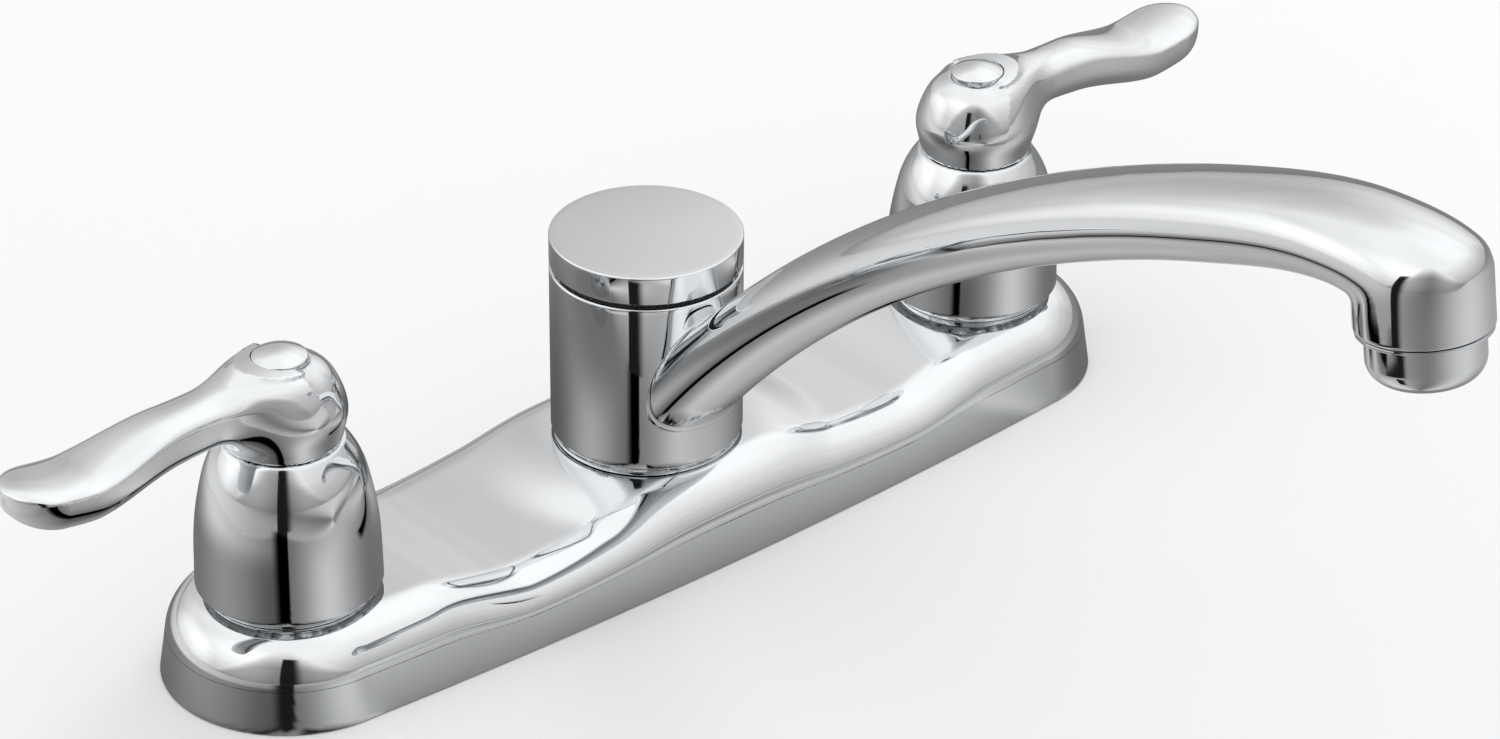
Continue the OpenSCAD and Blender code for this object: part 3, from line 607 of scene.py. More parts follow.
def make_buttons():
    bulge = (BUTTON_R ** 2 + BUTTON_DOME ** 2) / (2 * BUTTON_DOME)
    sweep = math.asin(BUTTON_R / bulge)
    top = KNOB_TOP + BUTTON_PROUD
    dome = [(bulge * math.sin(a), top + BUTTON_DOME - bulge * (1 - math.cos(a)))
            for a in np.linspace(sweep * 0.94, 0.0, 20)]
    foot = KNOB_TOP - POCKET_DEPTH + 0.1
    profile = [(0.0, foot), (BUTTON_R - 0.5, foot), (BUTTON_R - 0.5, foot + 0.8), (BUTTON_R, foot + 1.2),
               (BUTTON_R, top - 0.25), (BUTTON_R - 0.06, top - 0.02), (BUTTON_R - 0.2, top + 0.12)] + dome
    for name, side in SIDES.items():
        button = lathe(f"{name}_index_button_piece", profile, 96, shift(side * VALVE_X))
        outward(button)
        shade(button, 45)
        dress(button, f"{name}_handle", "chrome_button", f"{name}_index_button")


# Handles, as the zero level of a field that joins knob and lever smoothly
KNOB_LINE = [(0.0, KNOB_FOOT_R), (0.145, 13.44), (0.31, KNOB_R), (0.475, 13.9), (0.64, 12.93), (0.805, 11.46),
             (0.935, 9.05), (1.0, BUTTON_R + 0.7)]
knob_radius = natural_spline([h * KNOB_H for h, r in KNOB_LINE], [r for h, r in KNOB_LINE])
LEVER_NECK = LEVER_REACH * 0.35
LEVER_WIDE = LEVER_REACH * 0.76
TIP_ROUND = 10.0
# Places along the lever where its root ends and its depth starts to change
LEVER_ROOT = 6.0
LEVER_SHAFT = 12.0
# Reach of the fillet between knob and lever
KNOB_LEVER_FILLET = 8.0


def lever_sizes(d):
    flare = ease((d - LEVER_NECK) / (LEVER_WIDE - LEVER_NECK))
    root = 1 - ease((d - LEVER_ROOT) / (LEVER_NECK - LEVER_ROOT))
    over = np.maximum(0.0, d - (LEVER_REACH - TIP_ROUND)) / TIP_ROUND
    close = np.sqrt(np.maximum(1e-4, 1 - over * over))
    width = (blend(LEVER_NECK_W, LEVER_PADDLE_W, flare) / 2 + 0.6 * root) * close
    edge = (LEVER_EDGE_H - LEVER_DIP * ease((d - LEVER_NECK * 1.2) / (LEVER_WIDE - LEVER_NECK * 1.2))
            + LEVER_CURL * ease((d - LEVER_WIDE * 0.95) / (LEVER_REACH - LEVER_WIDE * 0.95)))
    depth = blend(LEVER_ROOT_DEPTH, LEVER_PADDLE_DEPTH, ease((d - LEVER_SHAFT) / LEVER_NECK))
    depth = depth * blend(1, close, 0.8)
    crown = LEVER_CROWN * blend(1, 0.62, ease((d - LEVER_SHAFT) / LEVER_WIDE)) * np.sqrt(close)
    return width, edge, depth, crown


def lever_raw(p):
    width, edge, depth, crown = lever_sizes(p[:, 0])
    across = np.abs(p[:, 1]) / width
    rise = p[:, 2] - edge
    above = np.sqrt(across ** 2 + (rise / crown) ** 2)
    below = np.cbrt(across ** 3 + np.abs(rise / depth) ** 3)
    return np.where(rise >= 0, above, below) - 1.0


def gradient(field, p, step=0.02):
    out = np.empty_like(p)
    for k in range(3):
        move = np.zeros(3)
        move[k] = step
        out[:, k] = (field(p + move) - field(p - move)) / (2 * step)
    return out


def lever_field(p):
    steep = np.linalg.norm(gradient(lever_raw, p), axis=1)
    return np.maximum(lever_raw(p) / np.maximum(steep, 0.02), 4.0 - p[:, 0])


def knob_field(p):
    r = np.hypot(p[:, 0], p[:, 1])
    side = (r - knob_radius(p[:, 2])) / np.sqrt(1 + knob_radius(p[:, 2], slope=True) ** 2)
    return np.maximum(side, p[:, 2] - KNOB_H)


def soft_join(a, b, reach):
    share = np.clip(0.5 + 0.5 * (b - a) / reach, 0.0, 1.0)
    return blend(b, a, share) - reach * share * (1 - share)


def handle_field(p):
    return np.maximum(soft_join(knob_field(p), lever_field(p), KNOB_LEVER_FILLET), -p[:, 2])


def level_mesh(field, low, high, cell):
    """Quad mesh of a field's zero level: one vertex in each cell that it crosses, moved onto the level."""
    counts = [int(math.ceil((h - l) / cell)) + 1 for l, h in zip(low, high)]
    axes = [l + cell * np.arange(c) for l, c in zip(low, counts)]
    grid = np.stack(np.meshgrid(*axes, indexing="ij"), axis=-1)
    value = field(grid.reshape(-1, 3)).reshape(counts)
    inside = value < 0
    total = np.zeros([c - 1 for c in counts] + [3])
    hits = np.zeros([c - 1 for c in counts])
    crossings = []
    for axis in range(3):
        a = [slice(None)] * 3
        b = [slice(None)] * 3
        a[axis] = slice(0, -1)
        b[axis] = slice(1, None)
        a, b = tuple(a), tuple(b)
        cut = inside[a] != inside[b]
        where = np.argwhere(cut)
        va, vb = value[a][cut], value[b][cut]
        point = grid[a][cut].copy()
        point[:, axis] += cell * va / (va - vb)
        crossings.append((axis, where, inside[a][cut]))
        others = [k for k in range(3) if k != axis]
        for i in (0, 1):
            for j in (0, 1):
                at = where.copy()
                at[:, others[0]] -= i
                at[:, others[1]] -= j
                fine = (at >= 0).all(axis=1) & (at < np.array(hits.shape)).all(axis=1)
                key = tuple(at[fine].T)
                np.add.at(total, key, point[fine])
                np.add.at(hits, key, 1)
    used = hits > 0
    number = np.full(hits.shape, -1)
    number[used] = np.arange(used.sum())
    points = total[used] / hits[used][:, None]
    for _ in range(4):
        slope = gradient(field, points)
        size = np.maximum((slope ** 2).sum(axis=1), 1e-6)
        move = field(points)[:, None] * slope / size[:, None]
        length = np.linalg.norm(move, axis=1, keepdims=True)
        points = points - move * np.minimum(1.0, 0.5 * cell / np.maximum(length, 1e-9))
    faces = []
    for axis, where, starts_inside in crossings:
        others = [(axis + 1) % 3, (axis + 2) % 3]
        quad = []
        for i, j in ((0, 0), (1, 0), (1, 1), (0, 1)):
            at = where.copy()
            at[:, others[0]] -= i
            at[:, others[1]] -= j
            quad.append(number[tuple(at.T)])
        quad = np.stack(quad, axis=1)
        quad[starts_inside] = quad[starts_inside][:, ::-1]
        faces.append(quad)
    return points, np.concatenate(faces)


def make_handles():
    points, faces = level_mesh(handle_field, (-16, -16, -1), (72, 16, 20.3), 0.6)
    for name, side in SIDES.items():
        turn = np.array([side, side, 1.0])
        place = np.array([side * VALVE_X, 0.0, HANDLE_Z])
        handle = make_mesh(f"{name}_handle_casting", points * turn + place, faces)
        outward(handle)
        at = side * VALVE_X
        combine(handle, [rod(BUTTON_R + 0.15, KNOB_TOP - POCKET_DEPTH, KNOB_TOP + 6, at),
                         rod(4.04, HANDLE_Z - 1, KNOB_TOP - POCKET_DEPTH - 2.8, at)], "DIFFERENCE")
        shade(handle, 40)

        def rule(corner, centre, flat, turn=turn, place=place):
            local = (centre - place) * turn
            slope = gradient(handle_field, (corner - place) * turn)
            exact = slope * turn / np.linalg.norm(slope, axis=1, keepdims=True)
            known = (np.abs(handle_field(local)) < 0.12) & ((exact * flat).sum(axis=1) > 0.9)
            known &= local[:, 2] > 0.8
            return known, exact
        set_normals(handle, rule)
        dress(handle, f"{name}_handle", "chrome_handle", f"{name}_handle")


# Spout: hub, arm and outlet collar
arm_origin = np.array([-HUB_R, HUB_Z + ARM_ROOT_H])


def arm_point(a):
    a = np.asarray(a, float)
    way = np.stack([np.sin(a) - math.sin(ARM_START), np.cos(a) - math.cos(ARM_START)], axis=-1)
    return arm_origin + ARM_ARC_R * way


def arm_normal(a):
    a = np.asarray(a, float)
    return np.stack([np.sin(a), np.cos(a)], axis=-1)


def arm_along(a):
    return np.array([-math.cos(a), math.sin(a)])


CORNER = arm_point(ARM_END) - ARM_HALF * arm_normal(ARM_END)
DOWN = np.array([-math.sin(OUTLET_TILT), -math.cos(OUTLET_TILT)])
OUT = np.array([-math.cos(OUTLET_TILT), math.sin(OUTLET_TILT)])
RIM = CORNER + COLLAR_R * OUT + COLLAR_LEN * DOWN
ARM_POWER = 0.96
LAST = ARM_END + BEND_LEAD / ARM_ARC_R


def bezier(p, t):
    return (1 - t) ** 3 * p[0] + 3 * t * (1 - t) ** 2 * p[1] + 3 * t * t * (1 - t) * p[2] + t ** 3 * p[3]


def bend_inner():
    a = CORNER - BEND_LEAD * arm_along(ARM_END)
    b = CORNER + COLLAR_LEN * 0.28 * DOWN
    return [a, blend(a, CORNER, 0.6), blend(b, CORNER, 0.6), b]


def bend_outer():
    a = CORNER + 2 * ARM_HALF * arm_normal(ARM_END) - BEND_LEAD * arm_along(ARM_END)
    b = CORNER + 2 * COLLAR_R * OUT - BEND_RISE * DOWN
    return [a, a + arm_along(ARM_END) * 2 * COLLAR_R * 0.31, b - DOWN * 2 * COLLAR_R * 0.38, b]


ARM_SIDES = 96
oval_angles = np.linspace(0.0, 2 * math.pi, ARM_SIDES, endpoint=False)


def power_sign(values, power):
    return np.sign(values) * np.abs(values) ** power


def oval(inner, outer, half_w, power=1.0):
    across = power_sign(np.cos(oval_angles), power)
    up = power_sign(np.sin(oval_angles), power)
    mid = (inner + outer) / 2 + up[:, None] * (outer - inner) / 2
    return np.column_stack([half_w * across, mid])


def collar_ring(down, radius):
    c = RIM + down * DOWN
    return oval(c - radius * OUT, c + radius * OUT, radius)


FILLET_R = 0.6


def arm_rows():
    """Rows of the arm from the hub's face to the bend. The first lies on the hub all round."""
    across = COLLAR_R * power_sign(np.cos(oval_angles), ARM_POWER)
    up = ARM_HALF * power_sign(np.sin(oval_angles), ARM_POWER)
    start = []
    table = np.linspace(ARM_START + 0.08, LAST, 1500)
    centre = arm_point(table)
    normal = arm_normal(table)
    for x, h in zip(across, up):
        line = centre + h * normal
        away = np.hypot(x, line[:, 0]) - HUB_R
        start.append(float(np.interp(0.0, away, table)))
    start = np.array(start)
    shares = np.concatenate([[-0.012], np.linspace(0.0, 0.02, 13), np.geomspace(0.024, 1.0, 44)])
    facing = np.stack([np.cos(oval_angles) / COLLAR_R, np.sin(oval_angles) / ARM_HALF], axis=1)
    facing /= np.linalg.norm(facing, axis=1, keepdims=True)
    rows = []
    for share in shares:
        a = start + (LAST - start) * share
        line = arm_point(a) + up[:, None] * arm_normal(a)
        away = np.clip(np.hypot(across, line[:, 0]) - HUB_R, 0.0, FILLET_R)
        grow = FILLET_R - np.sqrt(np.maximum(0.0, FILLET_R ** 2 - (FILLET_R - away) ** 2))
        x = across + grow * facing[:, 0]
        line = line + (grow * facing[:, 1])[:, None] * arm_normal(a)
        rows.append(np.column_stack([x, line]))
    return rows


def at_outlet(points):
    """Moves points whose +Z is the way down the outlet, with the origin at the rim's centre."""
    down3 = np.array([0.0, DOWN[0], DOWN[1]])
    out3 = np.array([0.0, OUT[0], OUT[1]])
    side3 = np.cross(out3, down3)
    return (np.array([0.0, RIM[0], RIM[1]]) + points[:, 2:3] * down3 + points[:, 1:2] * out3
            + points[:, 0:1] * side3)


def make_spout():
    rows = arm_rows()
    inner, outer = bend_inner(), bend_outer()
    # One smooth line per corner of the oval leads from the arm through the bend
    knots = rows[-4:-1]
    for t in (0.3, 0.45, 0.6, 0.75, 0.88, 1.0):
        knots.append(oval(bezier(inner, t), bezier(outer, t), COLLAR_R, blend(ARM_POWER, 1.0, t)))
    lines = [smooth_line([knot[i] for knot in knots], 64) for i in range(ARM_SIDES)]
    rows = rows[:-4] + list(np.stack(lines, axis=1))
    for down in (-4.0, -3.2, -2.0, -1.0, -0.45):
        rows.append(collar_ring(down, COLLAR_R))
    for t in (22.5, 45.0, 67.5, 90.0):
        a = math.radians(t)
        rows.append(collar_ring(-0.45 + 0.45 * math.sin(a), COLLAR_R - 0.45 * (1 - math.cos(a))))
    for down, radius in ((0.0, AERATOR_R), (0.0, AERATOR_R - 0.45), (-0.3, AERATOR_R - 0.5),
                         (-SOCKET_DEPTH, AERATOR_R - 0.5)):
        rows.append(collar_ring(down, radius))
    arm = stack("spout_casting", rows)
    outward(arm)
    well_z = HUB_H - WELL_DEPTH
    hub = rounded([(POST_R + 0.05, 0), (HUB_R, 0), (HUB_R, HUB_H), (WELL_R, HUB_H), (WELL_R, well_z),
                   (POST_R + 0.05, well_z)], [0, 0.5, 0.5, 0, 0, 0], 5)
    wall = [tuple(p) for p in hub]
    split = next(i for i, p in enumerate(wall) if p[1] > HUB_H / 2)
    wall[split:split] = [(HUB_R, z) for z in np.linspace(1.6, HUB_H - 1.6, 34)]
    shell = lathe("hub_shell", np.array(wall) + [0.0, HUB_Z], 192)
    outward(shell)
    combine(arm, [shell], "UNION")
    shade(arm, 40)

    def rule(corner, centre, flat):
        r = np.hypot(corner[:, 0], corner[:, 1])
        exact = np.column_stack([corner[:, 0] / r, corner[:, 1] / r, np.zeros(len(r))])
        known = (np.abs(r - HUB_R) < 2e-3) & ((exact * flat).sum(axis=1) > 0.995)
        known &= (corner[:, 2] > HUB_Z + 0.6) & (corner[:, 2] < HUB_TOP - 0.6)
        return known, exact
    set_normals(arm, rule)
    dress(arm, "spout", "chrome_spout", "spout")


# The cap's top rises a little towards its middle
CAP_CROWN = 0.5
CAP_CROWN_R = 21.5


def make_cap():
    z0 = HUB_TOP + CAP_GAP
    profile = rounded([(0.0, HUB_TOP - 2.0), (WELL_R - 1.6, HUB_TOP - 2.0), (WELL_R - 1.6, HUB_TOP - 3.0),
                       (WELL_R - 0.04, HUB_TOP - 3.0), (WELL_R - 0.04, z0), (HUB_R, z0), (HUB_R, z0 + CAP_H),
                       (0.0, z0 + CAP_H)], [0, 0, 0, 0, 0, 0.25, 0.4, 0], 6)
    crown = [(r, z0 + CAP_H + CAP_CROWN * (1 - (r / CAP_CROWN_R) ** 2))
             for r in (20.0, 17.0, 13.0, 8.0, 4.0, 0.0)]
    cap = lathe("spout_cap_piece", [tuple(p) for p in profile[:-1]] + crown, 192)
    outward(cap)
    shade(cap, 40)
    dress(cap, "spout", "chrome_spout", "spout_cap")


def make_aerator():
    skirt = AERATOR_LEN - AERATOR_EDGE_R
    mouth = AERATOR_R - AERATOR_EDGE_R - 0.2
    thread = AERATOR_R - 0.6
    profile = [(thread - 1.5, 2 - SOCKET_DEPTH), (thread, 2 - SOCKET_DEPTH), (thread, 0.2),
               (FLANGE_R - 0.2, 0.2), (FLANGE_R - 0.05, 0.26), (FLANGE_R, 0.45), (FLANGE_R, 0.75),
               (FLANGE_R - 0.05, 0.94), (FLANGE_R - 0.2, 1.0), (AERATOR_R + 0.15, 1.0), (AERATOR_R, 1.15),
               (AERATOR_R, 3.0)]
    profile += [(AERATOR_R - AERATOR_EDGE_R * (1 - math.cos(a)), skirt + AERATOR_EDGE_R * math.sin(a))
                for a in np.linspace(0.0, math.pi / 2, 20)]
    profile += [(mouth + 0.1, AERATOR_LEN - 0.02), (mouth, AERATOR_LEN - 0.3), (mouth, AERATOR_LEN - 2.4),
                (thread - 1.5, skirt - 1)]
    housing = lathe("aerator_housing_piece", profile, 128, at_outlet)
    outward(housing)
    shade(housing, 40)
    dress(housing, "spout", "chrome_trim", "aerator_housing")


make_plate()
make_rings()
make_bonnets()
make_buttons()
make_handles()
make_spout()
make_cap()
make_aerator()

# Pieces of the CAD frame that stay, each with its own material
for row in frame["record"]["subparts"]:
    node = frame["nodes"][row["node"]]
    for slot in node.material_slots:
        slot.material = materials[row["material_slot"]]


# Studio: world, lamp, floor, and the cards and strips that only reflections show, which carry painted
# reflections and painted shade
def way_to(azimuth, elevation):
    """Direction at an angle to the right of straight ahead and above the horizon."""
    a, e = math.radians(azimuth), math.radians(elevation)
    return (LEVEL_AHEAD * math.cos(a) + RIGHT * math.sin(a)) * math.cos(e) + Vector((0, 0, math.sin(e)))


# Soft bright places of the studio: azimuth, elevation, how far they reach in degrees, and their strength
GLOWS = [(45, 55, 34, 0.12), (-41, 16, 30, 0.12), (-78, 5, 36, 0.85), (24, 12, 24, 0.30),
         (-125, 18, 55, 0.35), (-18, 30, 26, -0.30), (20, 30, 26, 0.15), (180, -6, 58, 0.8)]
SKY_STRENGTH = 1.1


def make_world():
    world = bpy.data.worlds.new("studio")
    bpy.context.scene.world = world
    world.use_nodes = True
    n = Nodes(world.node_tree)
    where = n.add("ShaderNodeTexCoord").outputs["Generated"]
    height = n.add("ShaderNodeSeparateXYZ", {0: where}).outputs["Z"]
    share = n.add("ShaderNodeMath", {0: height, 1: 0.5, 2: 0.5}, operation="MULTIPLY_ADD").outputs[0]
    sky = n.ramp(share, [(0.5, 0.42), (0.587, 0.53), (0.671, 0.64), (0.75, 0.77), (0.854, 0.92), (0.933, 1.0),
                         (1.0, 0.98)])
    strength = SKY_STRENGTH
    for azimuth, elevation, reach, extra in GLOWS:
        near = n.dot(where, tuple(way_to(azimuth, elevation)))
        glow = n.add("ShaderNodeMapRange", {"Value": near, "From Min": math.cos(math.radians(reach)),
                                            "From Max": 1.0, "To Min": 0.0, "To Max": extra},
                     interpolation_type="SMOOTHSTEP")
        strength = n.math("ADD", glow.outputs["Result"], strength)
    light = n.add("ShaderNodeBackground", {"Color": sky, "Strength": strength})
    n.add("ShaderNodeOutputWorld", {"Surface": light.outputs[0]})


LAMP_AIM = (0.0, -0.06, 0.05)


def make_lamp(name, azimuth, elevation, distance, size, radiance):
    """Soft box that gives the faint shadows. The metal doesn't show it."""
    way = way_to(azimuth, elevation)
    data = bpy.data.lights.new(name, "AREA")
    data.shape = "RECTANGLE"
    data.size, data.size_y = size
    data.energy = radiance * math.pi * size[0] * size[1]
    lamp = bpy.data.objects.new(name, data)
    lamp.location = Vector(LAMP_AIM) + way * distance
    lamp.rotation_mode = "QUATERNION"
    lamp.rotation_quaternion = way.to_track_quat("Z", "Y")
    lamp.visible_camera = False
    lamp.visible_glossy = False
    bpy.context.collection.objects.link(lamp)


def make_floor():
    half = 30000.0
    corners = [(x * half, y * half, -0.3) for x, y in ((-1, -1), (1, -1), (1, 1), (-1, 1))]
    floor = make_mesh("floor", corners, [(0, 1, 2, 3)])
    material, n = new_material("floor")
    where = n.add("ShaderNodeTexCoord").outputs["Object"]
    tone = n.noise(where, 3.0, 2.0)
    finish_surface(n, {
        "Base Color": n.mix(n.spread(tone, 0.0, 1.0), (0.865, 0.867, 0.869, 1.0), (0.875, 0.877, 0.879, 1.0)),
        "Roughness": 0.9,
        "Specular IOR Level": 0.0,
    })
    floor.data.materials.append(material)


# Painted reflections of soft panels around the faucet, painted as tones onto the cards. Their angle counts
# from straight towards the camera, right is positive.
# Each set has the tone between the panels, then the middle, spread and strength of each panel.
NEAR_BONNETS = (0.20, [(-80, 26, 0.16), (-16, 16, -0.09), (54, 20, 0.55), (90, 14, 0.10)])
NEAR_HUB = (0.12, [(-70, 24, 0.37), (-22, 12, -0.06), (38, 13, 0.18), (66, 46, 0.46)])
FURTHER_OUT = (0.24, [(-106, 28, 0.60), (-58, 24, 0.22), (5, 15, -0.10), (68, 30, 0.50)])
# Upright columns with the radius of the wall that reflects
HOT_END = (-VALVE_X, 0.0, 28.0)
COLD_END = (VALVE_X, 0.0, 28.0)
HUB_COLUMN = (0.0, 0.0, HUB_R)
OUTLET_COLUMN = (0.0, float(RIM[0]), COLLAR_R)
# Place, width and height of the black strip that stands in front on the left, a card that paints a dark
# reflection
STRIP_X, STRIP_Y = -294.0, -218.0
STRIP_WIDTH = 60.0
STRIP_HEIGHT = 400.0
# How far the strips fade out on the left and where they end on the right, in half widths
STRIP_SOFT = 2.8
STRIP_FADE = 1.9
STRIP_EDGE = 0.88
CARD_BLACK = 0.012
# Half sizes, height and step of the sheet above the plate, and height of the one on the floor
SHEET_X, SHEET_Y = 230.4, 128.8
SHEET_Z = PLATE_H + 0.9
SHEET_STEP = 0.8
FLOOR_SHEET_Z = -0.15
# How far the painted shade along the plate reaches on the floor sheet
SHADE_REACH = 38.0


def compass(x, y):
    """Angle of a level direction from straight towards the camera."""
    return np.degrees(np.arctan2(x * RIGHT.x + y * RIGHT.y, -(x * LEVEL_AHEAD.x + y * LEVEL_AHEAD.y)))


def level_way(angle):
    a = np.radians(angle)[..., None]
    return -np.cos(a) * np.array(LEVEL_AHEAD)[:2] + np.sin(a) * np.array(RIGHT)[:2]


def seen_angle(x, y, column):
    """Angle at which the wall of a column, seen by the camera, reflects to a place on the ground."""
    cx, cy, radius = column
    local = compass(CAMERA_PLACE[0] / MM - cx, CAMERA_PLACE[1] / MM - cy)
    x, y = x - cx, y - cy
    angle = compass(x, y)
    for _ in range(24):
        foot = radius * level_way((angle + local) / 2)
        fresh = compass(x - foot[..., 0], y - foot[..., 1])
        turn = (fresh - angle + 180.0) % 360.0 - 180.0
        angle = (angle + 0.5 * turn + 180.0) % 360.0 - 180.0
    return angle


def strip_side(off, edge):
    """Opacity across a strip, by the distance from its middle in half widths."""
    return ease((off + STRIP_SOFT) / STRIP_FADE) * (1 - ease((off - STRIP_EDGE) / edge))


def bar_cover(angle, column):
    """The black strip's painted reflection as a column shows it, painted into the sheets' tones, with a crisp
    right side and a soft left side.
    """
    x, y = STRIP_X - column[0], STRIP_Y - column[1]
    half = math.degrees(math.atan(STRIP_WIDTH / 2 / math.hypot(x, y)))
    off = (angle - compass(x, y)) / half
    return strip_side(off, 0.24)


def tone_of(angle, studio, column=None):
    """Painted reflection tone that a set of panels shows at an angle, with the black strip's painted
    reflection before it where a column is given.
    """
    tone, panels = studio
    for middle, spread, strength in panels:
        off = (angle - middle + 180.0) % 360.0 - 180.0
        tone = tone + strength * np.exp(-0.5 * (off / spread) ** 2)
    return tone if column is None else tone * (1 - bar_cover(angle, column))


def floor_cover(x, y):
    """Opacity and tone of the dark sheet on the floor, which paints shade into reflections: painted shade
    along the plate, painted dark fans at its ends and further out, and the black strip's painted reflection
    at the hot end.
    """
    beyond = np.maximum(np.abs(x) - VALVE_X, 0.0)
    side = PLATE_END_R + PLATE_BOW * (1 - np.minimum(np.abs(x) / VALVE_X, 1.0) ** 2)
    away = np.hypot(beyond, y) - side
    close = np.where(x < 0, tone_of(seen_angle(x, y, HOT_END), NEAR_BONNETS, HOT_END),
                     tone_of(seen_angle(x, y, COLD_END), NEAR_BONNETS, COLD_END))
    middle = 1 - ease((np.abs(x) - VALVE_X + 12.0) / 12.0)
    # Painted shade before the plate's front wall, darker towards the wall's foot
    close = blend(close, np.where(y < 0, np.interp(away, [0.0, SHADE_REACH], [0.38, 0.72]), 0.45), middle)
    total, weights = np.zeros_like(x), np.zeros_like(x)
    for column, reach in ((HOT_END, 1.0), (HUB_COLUMN, 1.0), (COLD_END, 1.0), (OUTLET_COLUMN, 1.4)):
        r = np.hypot(x - column[0], y - column[1])
        weight = reach / (r ** 2 + 900.0) ** 2
        total += weight * tone_of(seen_angle(x, y, column), FURTHER_OUT)
        weights += weight
    wide = total / weights
    # The black strip's painted reflection in the hot end's wall
    r = np.hypot(x - HOT_END[0], y - HOT_END[1])
    near = ease(r / 12.0) * (1 - ease((r - 300.0) / 20.0))
    wide = wide * (1 - near * bar_cover(seen_angle(x, y, HOT_END), HOT_END))
    return 1 - blend(close, wide, ease((away - SHADE_REACH) / 24.0)), np.full_like(x, CARD_BLACK)


def plate_sheet(x, y):
    """Opacity and tone of the sheet just above the plate, which hub and bonnets show instead of the plate: a
    painted reflection.
    """
    total, weights, bar = np.zeros_like(x), np.zeros_like(x), np.zeros_like(x)
    for x0, radius, studio, end in ((-VALVE_X, BONNET_R, NEAR_BONNETS, 175.0), (0.0, HUB_R, NEAR_HUB, 66.0),
                                    (VALVE_X, BONNET_R, NEAR_BONNETS, 62.0)):
        column = (x0, 0.0, radius)
        r = np.hypot(x - x0, y)
        angle = seen_angle(x, y, column)
        weight = 1 / (r ** 2 + 100.0) ** 2
        far = ease((r - 42.0) / 58.0) * (studio is NEAR_BONNETS)
        total += weight * blend(tone_of(angle, studio), tone_of(angle, FURTHER_OUT), far)
        weights += weight
        bar = np.maximum(bar, bar_cover(angle, column) * (1 - ease((r - end) / 8.0)))
    rim = ease((230.0 - np.abs(x)) / 20.0) * ease((128.0 - np.abs(y)) / 20.0)
    return rim, 0.9 * total / weights * (1 - bar)


def even_steps(half):
    return np.arange(-half, half + SHEET_STEP / 2, SHEET_STEP)


def steps_out(low, high, fine):
    """Even steps in the middle, and growing ones out to where the floor ends."""
    inner = np.arange(low, high + fine, fine)
    out = np.cumsum(fine * 1.09 ** np.arange(1, 90))
    out = out[out < 29000.0]
    return np.concatenate([low - out[::-1], inner, inner[-1] + out])


def make_card(name, points, faces, cover, tone=None, one_sided=False):
    """Card that only reflections show, glowing with painted reflection and painted shade tones though it is
    no lamp. Its opacity and its tone may change from point to point.
    """
    card = make_mesh(name, points, faces)
    if tone is None:
        tone = np.full(len(points), CARD_BLACK)
    for key, values in (("cover", cover), ("tone", tone)):
        attribute = card.data.attributes.new(key, "FLOAT", "POINT")
        attribute.data.foreach_set("value", np.asarray(values, dtype=np.float32))
    material, n = new_material(name)
    share = n.add("ShaderNodeAttribute", attribute_name="cover").outputs["Fac"]
    if one_sided:
        back = n.add("ShaderNodeNewGeometry").outputs["Backfacing"]
        share = n.math("MULTIPLY", share, n.math("SUBTRACT", 1.0, back))
    clear = n.add("ShaderNodeBsdfTransparent")
    tones = n.add("ShaderNodeAttribute", attribute_name="tone")
    # Emission in the card's tone paints the reflection: painted reflection and painted shade
    dark = n.add("ShaderNodeEmission", {"Color": tones.outputs["Color"]})
    both = n.add("ShaderNodeMixShader", {0: share, 1: clear.outputs[0], 2: dark.outputs[0]})
    n.add("ShaderNodeOutputMaterial", {"Surface": both.outputs[0]})
    card.data.materials.append(material)
    for way in ("camera", "diffuse", "transmission", "volume_scatter", "shadow"):
        setattr(card, f"visible_{way}", False)


def sheet_card(name, xs, ys, z, rule, one_sided=False):
    """Level card on a grid, with its opacity and tone from a rule of the place."""
    x, y = (v.ravel() for v in np.meshgrid(xs, ys, indexing="ij"))
    index = np.arange(len(xs) * len(ys)).reshape(len(xs), len(ys))
    faces = np.stack([index[:-1, :-1], index[1:, :-1], index[1:, 1:], index[:-1, 1:]], axis=-1).reshape(-1, 4)
    make_card(name, np.column_stack([x, y, np.full(len(x), z)]), faces, *rule(x, y), one_sided=one_sided)


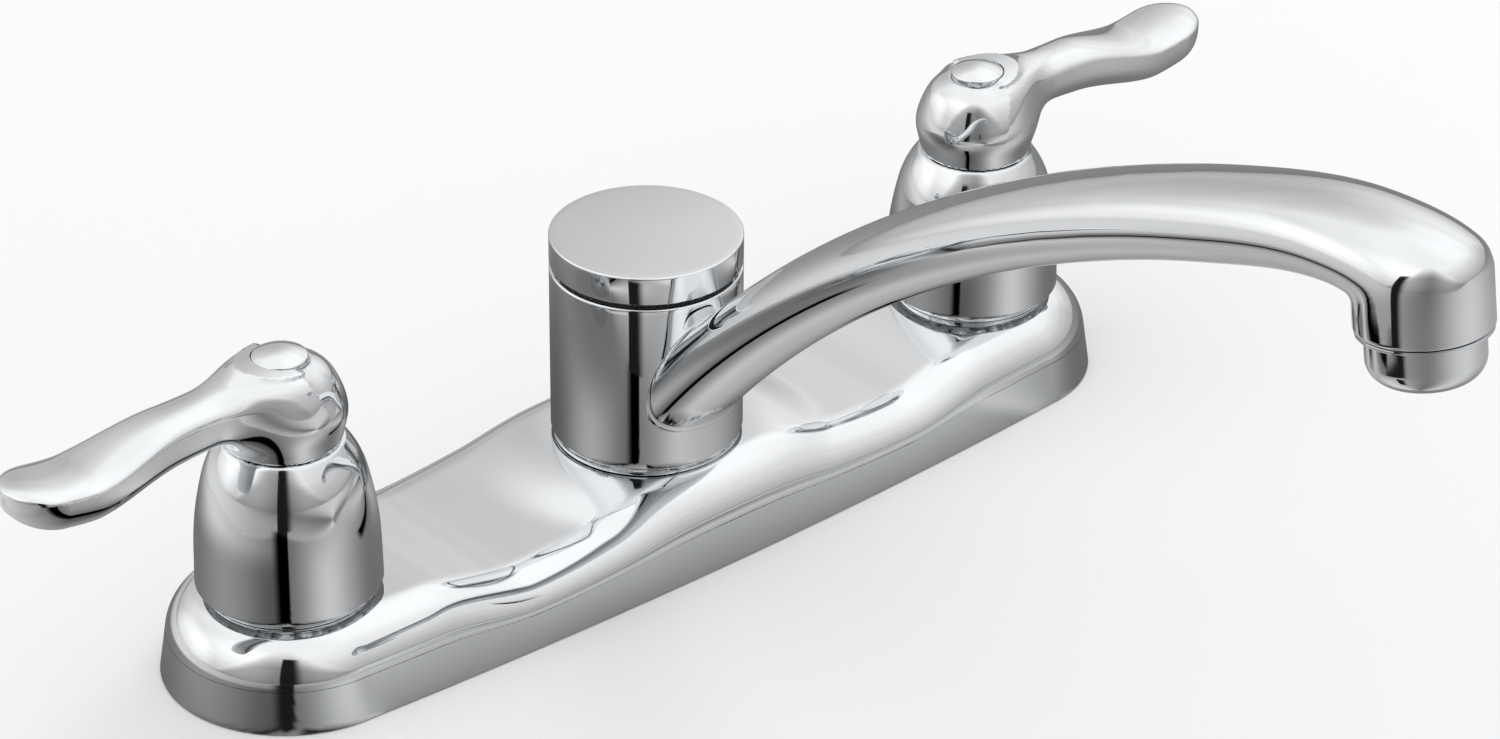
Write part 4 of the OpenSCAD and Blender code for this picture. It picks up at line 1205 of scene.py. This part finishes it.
def make_strip(name, x, y, low, high, width, facing, one_sided=False):
    """Upright black card that paints a dark reflection, with a crisp right and a soft left side, seen from
    the level direction it faces.
    """
    across = np.array([-facing[1], facing[0]]) / math.hypot(*facing)
    offsets = np.linspace(-STRIP_SOFT, 1.06, 24)
    places = np.array([x, y]) + offsets[:, None] * width / 2 * across
    side = strip_side(offsets, 0.15)
    rows, cover = [], []
    for z, full in ((low, 1.0), (blend(low, high, 0.9), 1.0), (high, 0.0)):
        rows.append(np.column_stack([places, np.full(len(offsets), z)]))
        cover.append(side * full)
    count = len(offsets)
    faces = [(j * count + i, j * count + i + 1, (j + 1) * count + i + 1, (j + 1) * count + i)
             for j in range(2) for i in range(count - 1)]
    make_card(name, np.concatenate(rows), faces, np.concatenate(cover), one_sided=one_sided)


# Far upright ring card that only reflections show: painted dark reflections, reaching highest towards the
# camera on the left
def make_backdrop():
    angles = np.arange(-180.0, 180.0, 0.6)
    way = level_way(angles)
    tops = 46.0 * ease((angles + 68.0) / 48.0) * (1 - ease((angles + 2.0) / 68.0)) - 2.0
    tone = tone_of(angles, FURTHER_OUT)
    rows, cover = [], []
    for h in np.arange(-1.5, 75.0, 1.5):
        e = math.radians(h)
        rows.append(25000.0 * np.column_stack([way * math.cos(e), np.full(len(angles), math.sin(e))]))
        up = 1 - ease((h - 0.7 * tops) / (5.0 + 0.9 * np.maximum(tops, 0.0)))
        cover.append((1 - tone) * up)
    make_card("upright_painted_shade_card", np.concatenate(rows), ring_faces(len(rows), len(angles)), np.concatenate(cover))


make_world()
make_lamp("key", 38, 52, 1.7, (0.5, 0.5), 3.2)
make_floor()
# Glowing sheet of painted reflections above the plate, and a dark sheet of painted shade on the floor
sheet_card("plate_painted_reflection_card", even_steps(SHEET_X), even_steps(SHEET_Y), SHEET_Z, plate_sheet, True)
sheet_card("floor_painted_shade_card", steps_out(-300.0, 240.0, 2.5), steps_out(-330.0, 160.0, 2.5), FLOOR_SHEET_Z,
           floor_cover)
make_strip("strip_card", STRIP_X, STRIP_Y, 1.0, STRIP_HEIGHT, STRIP_WIDTH, (-STRIP_X, -STRIP_Y))
# The upper hub and the outlet show painted dark reflection strips of their own, which only the side towards
# them shows
make_strip("hub_strip_card", -53.0, -39.3, SHEET_Z, 54.0, 10.3, (0.629, 0.778), True)
make_strip("outlet_strip_card", -62.0, -224.3, 52.0, 106.0, 12.0, (1.0, -0.027), True)
make_backdrop()

bpy.context.scene.view_settings.view_transform = "Standard"
